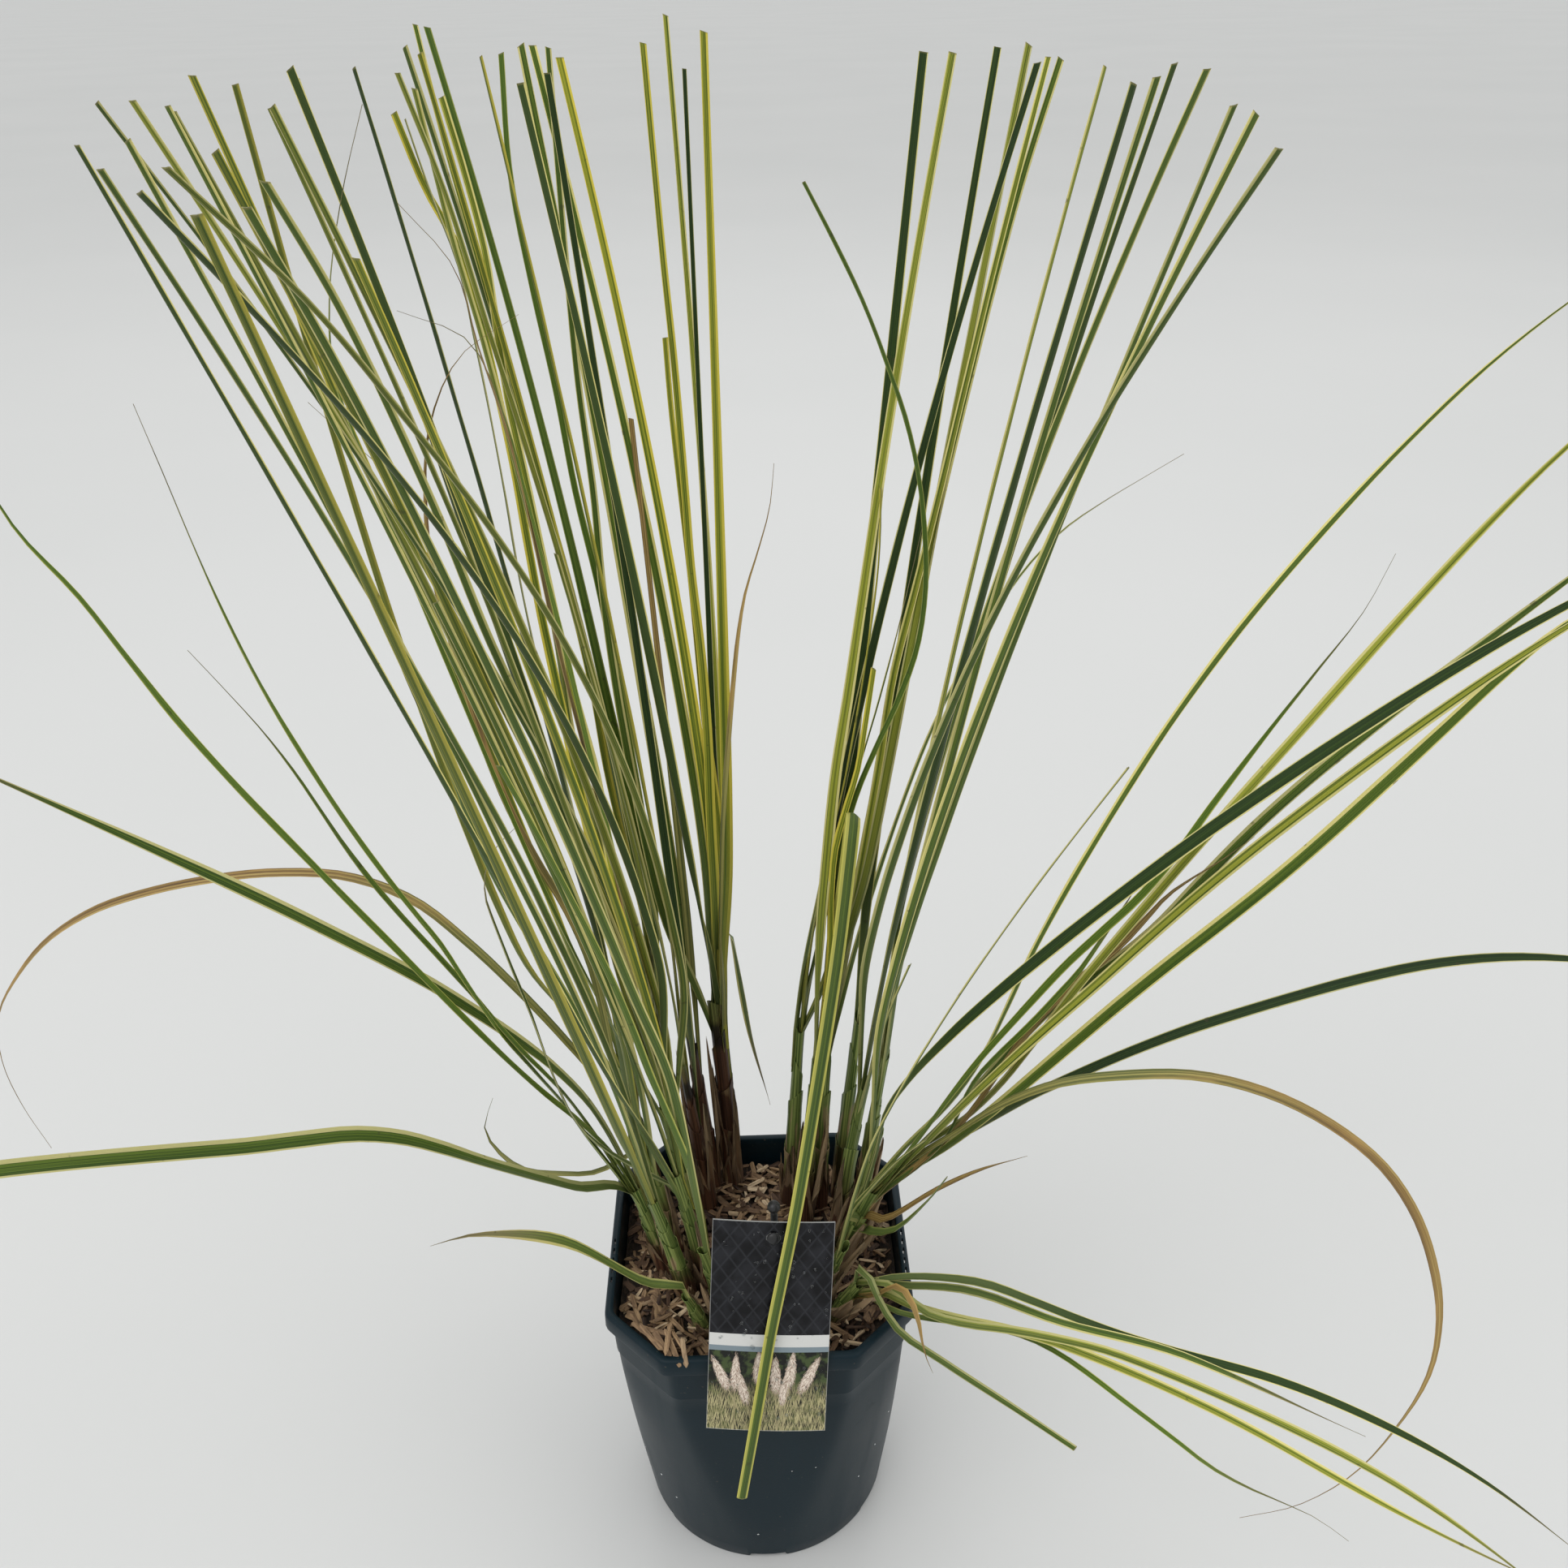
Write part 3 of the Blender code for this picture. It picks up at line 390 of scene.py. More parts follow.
class Wire:
    """A socket of a finish. Sums on it add the Math nodes that work them out."""

    def __init__(self, finish, socket):
        self.finish = finish
        self.socket = socket

    def math(self, operation, *others):
        return self.finish.node("ShaderNodeMath", {"operation": operation}, dict(enumerate((self, *others))))

    def __add__(self, other):
        return self.math("ADD", other)

    def __sub__(self, other):
        return self.math("SUBTRACT", other)

    def __rsub__(self, other):
        return self.finish.node("ShaderNodeMath", {"operation": "SUBTRACT"}, {0: other, 1: self})

    def __mul__(self, other):
        return self.math("MULTIPLY", other)

    def __truediv__(self, other):
        return self.math("DIVIDE", other)

    def __gt__(self, other):
        return self.math("GREATER_THAN", other)

    def __lt__(self, other):
        return self.math("LESS_THAN", other)

    def __abs__(self):
        return self.math("ABSOLUTE")

    __radd__ = __add__
    __rmul__ = __mul__

    def over(self, low, high):
        """0 at low, 1 at high, and smooth between them."""
        sockets = {0: self, 1: low, 2: high, 3: 0.0, 4: 1.0}
        return self.finish.node("ShaderNodeMapRange", {"interpolation_type": "SMOOTHSTEP"}, sockets)


class Finish:
    """A material, and the nodes that give its surface what changes over it."""

    def __init__(self, name, colour=(0.5, 0.5, 0.5), roughness=0.5, sockets=None):
        self.material = bpy.data.materials.new(name)
        self.material.use_nodes = True
        self.tree = self.material.node_tree
        self.shader = self.tree.nodes["Principled BSDF"]
        self.material.diffuse_color = (*colour, 1.0)
        self.set_up(self.shader, {"Base Color": (*colour, 1.0), "Roughness": roughness})
        self.set_up(self.shader, sockets or {})

    def set_up(self, node, sockets):
        for key, value in sockets.items():
            if isinstance(value, Wire):
                self.tree.links.new(value.socket, node.inputs[key])
            else:
                node.inputs[key].default_value = value

    def node(self, kind, settings=None, sockets=None, output=0):
        made = self.tree.nodes.new(kind)
        for key, value in (settings or {}).items():
            if key == "stops":
                self.set_stops(made.color_ramp, value)
            else:
                setattr(made, key, value)
        self.set_up(made, sockets or {})
        return Wire(self, made.outputs[output])

    @staticmethod
    def set_stops(ramp, stops):
        while len(ramp.elements) < len(stops):
            ramp.elements.new(1.0)
        for element, (place, colour) in zip(ramp.elements, stops):
            element.position = place
            element.color = (*colour, 1.0)

    def value(self, name):
        """A number that the piece's points carry."""
        return self.node("ShaderNodeAttribute", {"attribute_name": name}, output=2)

    def vector(self, name):
        return self.node("ShaderNodeAttribute", {"attribute_name": name}, output=1)

    def place(self):
        return self.node("ShaderNodeTexCoord", output=3)

    def joined(self, x, y, z):
        return self.node("ShaderNodeCombineXYZ", None, {0: x, 1: y, 2: z})

    def noise(self, vector, scale, detail=2.0, roughness=0.5):
        return self.node("ShaderNodeTexNoise", None, {"Vector": vector, "Scale": scale, "Detail": detail,
                                                      "Roughness": roughness})

    def mix(self, factor, first, second, blend="MIX"):
        """One colour into another. A colour is three numbers or a wire."""
        first, second = (c if isinstance(c, Wire) else (*c, 1.0) for c in (first, second))
        return self.node("ShaderNodeMix", {"data_type": "RGBA", "blend_type": blend, "clamp_factor": True},
                         {0: factor, 6: first, 7: second}, output=2)

    def stretched(self, place, scale):
        """Places drawn out, so that a noise on them runs one way."""
        return self.node("ShaderNodeMapping", None, {"Vector": place, "Scale": scale})

    def ramp(self, factor, stops):
        return self.node("ShaderNodeValToRGB", {"stops": stops}, {0: factor})

    def paint(self, colour=None, roughness=None, height=None, depth=0.2 * MM, strength=1.0):
        if colour:
            self.set_up(self.shader, {"Base Color": colour})
        if roughness:
            self.set_up(self.shader, {"Roughness": roughness})
        if height:
            sockets = {"Strength": strength, "Distance": depth, "Height": height}
            bump = self.node("ShaderNodeBump", None, sockets)
            self.set_up(self.shader, {"Normal": bump})
        return self.material


# Leaf finishes: left margin, right margin (parts of the half width), amount of stripes, colours of
# the green, the stripes and the margins
CREAM = (0.70, 0.64, 0.27)
GOLD = (0.62, 0.53, 0.08)
LEAF_KINDS = {
    "edged": (0.48, 0.20, 0.30, (0.034, 0.074, 0.010), (0.17, 0.25, 0.030), CREAM),
    "dark": (0.20, 0.12, 0.12, (0.014, 0.034, 0.008), (0.050, 0.095, 0.016), CREAM),
    "striped": (0.26, 0.42, 0.60, (0.038, 0.084, 0.010), (0.38, 0.40, 0.050), CREAM),
    "gold": (0.54, 0.20, 0.48, (0.046, 0.098, 0.010), (0.38, 0.38, 0.04), GOLD),
    "broad": (0.46, 0.36, 0.18, (0.034, 0.070, 0.010), (0.16, 0.23, 0.028), (0.62, 0.58, 0.13)),
    "plain": (0.16, 0.24, 0.35, (0.056, 0.120, 0.013), (0.19, 0.28, 0.035), (0.46, 0.47, 0.12)),
}


def leaf_finish(kind):
    """A leaf: lengthwise stripes and pale margins, a pale foot and a browned tip or cut."""
    left, right, amount, green, pale, margin = LEAF_KINDS[kind]
    leaf = Finish(f"leaf_{kind}", green, 0.42, {"Specular IOR Level": 0.22})
    across, along, shade = leaf.value("across"), leaf.value("along"), leaf.value("shade")
    streaks = leaf.noise(leaf.joined(across * 2.6 + shade * 40.0, along * 1.6, shade * 9.0), 1.0, 3.0, 0.6)
    fine = leaf.noise(leaf.joined(across * 9.0, along * 5.0, shade * 30.0), 1.0, 2.0)
    drift = leaf.noise(leaf.joined(0.0, along * 9.0, shade * 70.0), 1.0, 2.0)
    stripes = streaks.over(0.60 - 0.22 * amount, 0.66 - 0.2 * amount)
    colour = leaf.mix(fine.over(0.3, 0.75) * 0.55, green, pale)
    colour = leaf.mix(stripes * min(1.0, 0.25 + amount), colour, pale)
    wobble = (drift - 0.5) * 0.16
    edge_left = (0.0 - across).over(1.0 - left - 0.05, 1.0 - left + 0.03)
    edge_right = (across + wobble).over(1.0 - right - 0.05, 1.0 - right + 0.03)
    colour = leaf.mix(edge_left, colour, margin)
    colour = leaf.mix(edge_right, colour, margin)
    midrib = 1.0 - abs(across).over(0.03, 0.1)
    colour = leaf.mix(midrib * 0.45, colour, pale)
    colour = leaf.mix(leaf.value("under") * 0.35, colour, (0.07, 0.105, 0.035))
    tone = leaf.mix(shade, (0.72, 0.74, 0.78), (1.22, 1.18, 1.0))
    colour = leaf.mix(1.0, colour, tone, "MULTIPLY")
    foot = 1.0 - along.over(0.02, 0.16)
    colour = leaf.mix(foot * 0.6, colour, (0.15, 0.19, 0.06))
    to_end = leaf.value("to_end")
    browned = 1.0 - (to_end + (drift - 0.5) * 0.0012).over(0.0001, 0.0008)
    colour = leaf.mix(browned * 0.7, colour, (0.22, 0.20, 0.08))
    withered = (1.0 - to_end.over(0.01, 0.09)) * leaf.value("pointed")
    colour = leaf.mix(withered * 0.85, colour, (0.28, 0.22, 0.12))
    specks = leaf.noise(leaf.place(), 160.0, 2.0).over(0.70, 0.76) * 0.5
    colour = leaf.mix(specks, colour, (0.05, 0.045, 0.02))
    ribs = (across * 34.0).math("SINE")
    height = ribs * 0.5 + fine * 0.6 - midrib * 1.2
    return leaf.paint(colour, 0.36 + streaks * 0.22, height, 0.07 * MM)


def dry_finish(name, fresh_until):
    """A dead leaf, or one that is green until a length and brown and tan after it."""
    leaf = Finish(name, (0.32, 0.2, 0.08), 0.6)
    across, along, shade = leaf.value("across"), leaf.value("along"), leaf.value("shade")
    streaks = leaf.noise(leaf.joined(across * 3.0, along * 4.0, shade * 50.0), 1.0, 3.0, 0.65)
    patches = leaf.noise(leaf.joined(across * 0.4, along * 22.0, shade * 20.0), 1.0, 3.0)
    browns = ((0.3, (0.10, 0.052, 0.018)), (0.5, (0.31, 0.195, 0.055)), (0.7, (0.56, 0.42, 0.15)))
    colour = leaf.ramp(streaks, browns)
    colour = leaf.mix(patches.over(0.5, 0.7) * 0.7, colour, (0.48, 0.30, 0.09))
    green = leaf.mix(streaks.over(0.4, 0.6), (0.075, 0.12, 0.025), (0.30, 0.30, 0.08))
    fresh = 1.0 - (along + (patches - 0.5) * 0.12).over(fresh_until, fresh_until + 0.12)
    colour = leaf.mix(fresh * 0.8, colour, green)
    ribs = (across * 30.0).math("SINE")
    return leaf.paint(colour, 0.5 + streaks * 0.2, ribs * 0.5 + streaks, 0.08 * MM)


def sheath_finish():
    """A wrapped sheath: burgundy brown at the foot, green with pale veins towards the leaves."""
    sheath = Finish("sheath", (0.2, 0.14, 0.06), 0.5, {"Specular IOR Level": 0.3})
    across, up, shade, dead = (sheath.value(name) for name in ("across", "along", "shade", "dead"))
    veins = sheath.noise(sheath.joined(across * 14.0, up * 0.8, shade * 30.0), 1.0, 3.0, 0.6)
    patches = sheath.noise(sheath.joined(across * 2.0, up * 3.0, shade * 17.0), 1.0, 3.0)
    green = sheath.mix(veins.over(0.38, 0.62), (0.050, 0.088, 0.016), (0.25, 0.30, 0.085))
    brown = sheath.mix(veins.over(0.35, 0.65), (0.026, 0.010, 0.006), (0.115, 0.050, 0.026))
    tan = sheath.mix(veins.over(0.3, 0.6), (0.13, 0.08, 0.04), (0.36, 0.26, 0.14))
    rise = up + (patches - 0.5) * 0.6 + shade * 0.2 - dead * 0.62
    colour = sheath.mix(rise.over(0.26, 0.66), brown, green)
    colour = sheath.mix(patches.over(0.58, 0.66) * (1.0 - up.over(0.4, 0.8)), colour, tan)
    ring = up.over(0.80, 0.86) * (1.0 - up.over(0.93, 0.98)) * dead
    colour = sheath.mix(ring * 0.9, colour, (0.008, 0.005, 0.004))
    return sheath.paint(colour, 0.42 + veins * 0.2, veins, 0.15 * MM)


def husk_finish():
    """A dead outer sheath: papery, tan to burnt orange, with dark lengthwise veins."""
    husk = Finish("husk", (0.4, 0.27, 0.14), 0.7)
    across, up, shade = husk.value("across"), husk.value("along"), husk.value("shade")
    veins = husk.noise(husk.joined(across * 16.0, up * 0.7, shade * 40.0), 1.0, 4.0, 0.65)
    patches = husk.noise(husk.joined(across * 1.5, up * 2.0, shade * 23.0), 1.0, 3.0)
    browns = ((0.30, (0.034, 0.018, 0.011)), (0.52, (0.145, 0.085, 0.045)), (0.74, (0.40, 0.29, 0.17)))
    colour = husk.ramp(veins, browns)
    colour = husk.mix(patches.over(0.5, 0.68) * 0.5, colour, (0.22, 0.10, 0.035))
    colour = husk.mix((1.0 - up.over(0.0, 0.5)) * 0.7, colour, (0.026, 0.014, 0.009))
    colour = husk.mix(shade * up.over(0.2, 0.7) * 0.6, colour, (0.46, 0.34, 0.20))
    return husk.paint(colour, 0.62 + veins * 0.2, veins, 0.25 * MM)


def pot_finish():
    """Dark petrol moulded plastic: fine grain, faint vertical drag marks, dust and dried splashes."""
    pot = Finish("pot_plastic", (0.010, 0.022, 0.030), 0.4, {"Specular IOR Level": 0.17})
    place = pot.place()
    cloudy = pot.noise(place, 14.0, 4.0, 0.6)
    grain = pot.noise(place, 900.0, 2.0)
    drag = pot.noise(pot.stretched(place, (60.0, 60.0, 4.0)), 1.0, 3.0)
    dust = pot.noise(place, 420.0, 2.0).over(0.70, 0.78)
    splash = pot.noise(place, 36.0, 5.0, 0.7).over(0.62, 0.78)
    colour = pot.mix(cloudy, (0.0022, 0.0095, 0.0140), (0.0055, 0.0180, 0.0260))
    colour = pot.mix(drag.over(0.5, 0.8) * 0.25, colour, (0.018, 0.036, 0.046))
    colour = pot.mix(splash * 0.14, colour, (0.10, 0.10, 0.09))
    colour = pot.mix(dust * 0.4, colour, (0.12, 0.10, 0.07))
    rough = 0.30 + cloudy * 0.16 + drag.over(0.45, 0.8) * 0.1 + splash * 0.15
    return pot.paint(colour, rough, grain * 0.5 + drag * 0.5 + cloudy * 0.4, 0.06 * MM)


def soil_finish():
    soil = Finish("potting_soil", (0.03, 0.02, 0.014), 0.95)
    place = soil.place()
    clods = soil.noise(place, 320.0, 5.0, 0.7)
    fibres = soil.noise(soil.stretched(place, (900.0, 140.0, 300.0)), 1.0, 2.0)
    browns = ((0.3, (0.008, 0.005, 0.004)), (0.55, (0.035, 0.022, 0.014)), (0.75, (0.10, 0.065, 0.04)))
    colour = soil.ramp(clods, browns)
    colour = soil.mix(fibres.over(0.64, 0.72) * 0.6, colour, (0.16, 0.10, 0.06))
    return soil.paint(colour, 0.8 + clods * 0.15, clods + fibres * 0.4, 1.2 * MM)


def chip_finish():
    """Torn wood: grain along each chip, from fresh tan to damp dark brown."""
    chip = Finish("torn_wood", (0.4, 0.26, 0.15), 0.75)
    grain_place, shade = chip.vector("grain"), chip.value("shade")
    grain = chip.noise(grain_place, 1.0, 4.0, 0.65)
    tone = chip.ramp(shade, (
        (0.0, (0.030, 0.015, 0.009)), (0.35, (0.115, 0.062, 0.032)),
        (0.7, (0.36, 0.24, 0.135)), (1.0, (0.68, 0.54, 0.37)),
    ))
    light = chip.mix(grain.over(0.3, 0.7), (0.55, 0.50, 0.46), (1.25, 1.22, 1.15))
    colour = chip.mix(1.0, tone, light, "MULTIPLY")
    # Damp patches of darker brown over the chips.
    damp_and_painted_shade = chip.noise(chip.place(), 60.0, 3.0).over(0.56, 0.72)
    colour = chip.mix(damp_and_painted_shade * 0.55, colour, (0.10, 0.055, 0.03))
    return chip.paint(colour, 0.62 + grain * 0.25, grain, 0.5 * MM)


def card_finish():
    """A printed card: quilted black above, bare pale band, and pale plumes over dry grass below."""
    card = Finish("printed_card", (0.02, 0.02, 0.024), 0.3, {"Specular IOR Level": 0.22})
    side, down, front = card.value("side"), card.value("down"), card.value("front")
    u = side * (CARD_WIDTH / MM / 2)
    v = down * (CARD_LENGTH / MM)
    flat = card.joined(u, v, 0.0)
    seams = None
    for slope in (0.8, -0.8):
        to_seam = (u * slope + v * 0.6 + 200.0).math("PINGPONG", QUILT_STEP)
        line = 1.0 - to_seam.over(0.0, 0.9)
        seams = line if seams is None else seams.math("MAXIMUM", line)
    sheen = card.noise(flat, 0.09, 2.0)
    black = card.mix(sheen.over(0.35, 0.7), (0.002, 0.002, 0.003), (0.014, 0.0145, 0.018))
    black = card.mix(seams * 0.45, black, (0.034, 0.036, 0.042))
    leaves = card.noise(flat, 0.16, 4.0, 0.6)
    ground = card.mix(leaves.over(0.45, 0.62), (0.010, 0.011, 0.009), (0.055, 0.078, 0.028))
    blades = card.noise(card.joined(u * 1.9 + v * 0.35, v * 0.12, 3.0), 1.0, 3.0, 0.6)
    blades_back = card.noise(card.joined(u * 1.9 - v * 0.4, v * 0.12, 9.0), 1.0, 3.0, 0.6)
    growth = (v + (sheen - 0.5) * 14.0).over(88.0, 106.0)
    straw = blades.over(0.45, 0.6).math("MAXIMUM", blades_back.over(0.47, 0.62))
    picture = card.mix(straw * growth * 0.95, ground, (0.47, 0.42, 0.22))
    picture = card.mix(leaves.over(0.50, 0.62) * growth * 0.4, picture, (0.10, 0.095, 0.035))
    for middle, height, lean, length, breadth in PLUMES:
        x, y = u - middle, v - height
        beside = x * math.cos(lean) + y * math.sin(lean)
        onward = y * math.cos(lean) - x * math.sin(lean)
        stem = (1.0 - abs(beside).over(0.2, 0.5)) * (onward > 0.0)
        picture = card.mix(stem * 0.7, picture, (0.36, 0.31, 0.17))
        strokes = card.joined(beside * 1.1, onward * 0.75 - abs(beside) * 1.5, middle)
        fluff = card.noise(strokes, 1.0, 3.0, 0.65)
        taper = breadth * 0.6 + (onward + length) * (breadth * 0.35 / length)
        breadthways = beside / taper
        lengthways = onward / length
        reach = breadthways * breadthways + lengthways * lengthways + (fluff - 0.5) * 3.4
        plume = card.mix(fluff.over(0.36, 0.62), (0.28, 0.19, 0.14), (0.84, 0.74, 0.63))
        picture = card.mix(1.0 - reach.over(0.75, 1.1), picture, plume)
    colour = card.mix(v > BAND_FROM, black, (0.62, 0.62, 0.60))
    colour = card.mix(v > FAR_FROM, colour, (0.20, 0.25, 0.28))
    colour = card.mix(v > PICTURE_FROM, colour, picture)
    ends = (v < CARD_RIM).math("MAXIMUM", v > CARD_LENGTH / MM - CARD_RIM)
    rim = abs(side).over(0.988, 0.994).math("MAXIMUM", ends)
    colour = card.mix(rim * 0.6, colour, (0.40, 0.40, 0.39))
    colour = card.mix(1.0 - front, colour, (0.60, 0.60, 0.58))
    scuff = card.noise(card.place(), 70.0, 3.0)
    return card.paint(colour, 0.20 + scuff * 0.18, (seams * (v < BAND_FROM)) * 0.6 + scuff * 0.2, 0.08 * MM)


def stake_finish():
    stake = Finish("stake_plastic", (0.01, 0.01, 0.012), 0.35)
    grain = stake.noise(stake.place(), 700.0, 2.0)
    worn = stake.noise(stake.place(), 90.0, 3.0)
    colour = stake.mix(worn.over(0.5, 0.75) * 0.5, (0.008, 0.008, 0.009), (0.03, 0.03, 0.032))
    return stake.paint(colour, 0.28 + worn * 0.2, grain, 0.04 * MM)


def water_finish():
    water = Finish("water", (0.95, 0.97, 0.97), 0.03, {"Transmission Weight": 1.0, "IOR": 1.33})
    return water.material


def floor_finish():
    floor = Finish("floor_paint", (0.62, 0.64, 0.64), 0.6)
    cloudy = floor.noise(floor.place(), 0.8, 4.0)
    colour = floor.mix(cloudy, (0.61, 0.615, 0.61), (0.67, 0.67, 0.665))
    return floor.paint(colour)


# Plumes on the card: middle and height of each, its lean, half length and half breadth
PLUMES = (
    (-25, 88, -0.45, 11, 2.8), (-17, 87, 0.0, 11, 2.7), (-13, 96, -0.25, 10, 2.6), (-5, 84, 0.0, 10, 3.0),
    (4, 88, -0.05, 11, 3.0), (9, 96, 0.12, 10, 2.6), (12, 85, 0.1, 11, 2.9), (22, 88, 0.42, 12, 2.9),
)


# ---- shared small tools -------------------------------------------------------------------------


def closed_mesh(name, points, faces):
    """A mesh with its faces turned outwards."""
    mesh = bpy.data.meshes.new(name)
    mesh.from_pydata([tuple(p) for p in points], [], faces)
    shape = bmesh.new()
    shape.from_mesh(mesh)
    bmesh.ops.recalc_face_normals(shape, faces=shape.faces)
    shape.to_mesh(mesh)
    shape.free()
    return mesh


def placed(name, data):
    """An object of a mesh, lamp or camera, put in the scene."""
    made = bpy.data.objects.new(name, data)
    bpy.context.collection.objects.link(made)
    return made


def new_piece(name, points, faces, material, values=None, stands_for=(), slot=None, crease=50):
    """A piece that rides on the body, with the numbers that its finish reads at each point."""
    mesh = closed_mesh(name, points, faces)
    for key, numbers in (values or {}).items():
        numbers = np.array(numbers, dtype=np.float32)
        if numbers.ndim == 2:
            mesh.attributes.new(key, "FLOAT_VECTOR", "POINT").data.foreach_set("vector", numbers.ravel())
        else:
            mesh.attributes.new(key, "FLOAT", "POINT").data.foreach_set("value", numbers)
    mesh.shade_smooth()
    mesh.set_sharp_from_angle(angle=math.radians(crease))
    mesh.materials.append(material)
    piece = placed(name, mesh)
    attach(piece, BODY)
    if stands_for:
        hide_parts(*stands_for)
    return piece


def loft(rings, ends="capped"):
    """Faces over rings with the same number of points; the ends are capped, open or joined."""
    count = len(rings[0])
    points = [p for ring in rings for p in ring]
    faces = []
    last = len(rings) if ends == "joined" else len(rings) - 1
    for r in range(last):
        s = (r + 1) % len(rings)
        faces += [(r * count + i, r * count + (i + 1) % count, s * count + (i + 1) % count, s * count + i)
                  for i in range(count)]
    if ends == "capped":
        faces.append(tuple(reversed(range(count))))
        faces.append(tuple((len(rings) - 1) * count + i for i in range(count)))
    return points, faces


class Heap:
    """Many small shapes gathered into one piece."""

    def __init__(self, *keys):
        self.points = []
        self.faces = []
        self.values = {key: [] for key in keys}

    def add(self, points, faces, **values):
        start = len(self.points)
        self.points += points
        self.faces += [tuple(start + i for i in face) for face in faces]
        for key, numbers in values.items():
            self.values[key] += [numbers] * len(points) if np.ndim(numbers) == 0 else list(numbers)

    def piece(self, name, material, **more):
        return new_piece(name, self.points, self.faces, material, self.values, **more)


def cut_away(target, cutters):
    """Cuts closed shapes out of a piece and keeps the result as its mesh."""
    tools = []
    for points, faces in cutters:
        tool = placed("cutter", closed_mesh("cutter", points, faces))
        cut = target.modifiers.new("cut", "BOOLEAN")
        cut.operation = "DIFFERENCE"
        cut.object = tool
        tools.append(tool)
    finished = target.evaluated_get(bpy.context.evaluated_depsgraph_get())
    mesh = bpy.data.meshes.new_from_object(finished)
    target.modifiers.clear()
    target.data = mesh
    for tool in tools:
        bpy.data.objects.remove(tool, do_unlink=True)


def smooth_step(t):
    t = min(max(t, 0.0), 1.0)
    return t * t * (3 - 2 * t)


def turned(x, y, angle):
    return x * math.cos(angle) - y * math.sin(angle), x * math.sin(angle) + y * math.cos(angle)


# ---- pot ----------------------------------------------------------------------------------------

POT_ANGLES = 256
CORNER_ROUND = 0.9 * MM
DRAINS = 6  # notches in the foot's edge, and holes between them further in
DRAIN_RING = 46 * MM
SLOTS = 5  # under the lip, on each of two sides
SLOT_STEP = 7 * MM


def soft_min(*numbers):
    """The least number, with the corner between two of them rounded."""
    least = min(numbers)
    return least - CORNER_ROUND * math.log(sum(math.exp((least - n) / CORNER_ROUND) for n in numbers))


def pot_radius(angle, height, inset, lip=False):
    """Distance of the pot's skin from its axis: flat sides that a round cone cuts into."""
    half = POT_WIDTH / 2 if lip else POT_WIDTH / 2 - LIP_OUT - BODY_TAPER * (POT_HEIGHT - height)
    quarter = (angle + math.pi / 4) % (math.pi / 2) - math.pi / 4
    side = (half - inset) / math.cos(quarter)
    diagonal = (2 * half - CORNER_CUT) / math.sqrt(2) - inset
    cut = diagonal / math.cos(math.pi / 4 - abs(quarter))
    if lip:
        return soft_min(side, cut)
    return soft_min(side, cut, FOOT_RADIUS + FLUTE * height - inset)


def pot_ring(height, inset, lip=False, count=POT_ANGLES):
    ring = []
    for k in range(count):
        angle = math.tau * k / count
        radius = pot_radius(angle, height, inset, lip)
        ring.append((radius * math.cos(angle), radius * math.sin(angle), height))
    return ring


def box_points(near, far, half_width, low, high, turn, draft=1.0):
    """A block lying along a direction from the axis, narrower at its top by the draft."""
    rings = []
    for height, scale in ((low, 1.0), (high, draft)):
        corners = ((near, -half_width * scale), (near, half_width * scale), (far, half_width * scale),
                   (far, -half_width * scale))
        rings.append([(*turned(x, y, turn), height) for x, y in corners])
    return loft(rings)


def disc_points(x, y, radius, low, high, count=16):
    return loft([
        [(x + radius * math.cos(math.tau * k / count), y + radius * math.sin(math.tau * k / count), z)
         for k in range(count)]
        for z in (low, high)
    ])


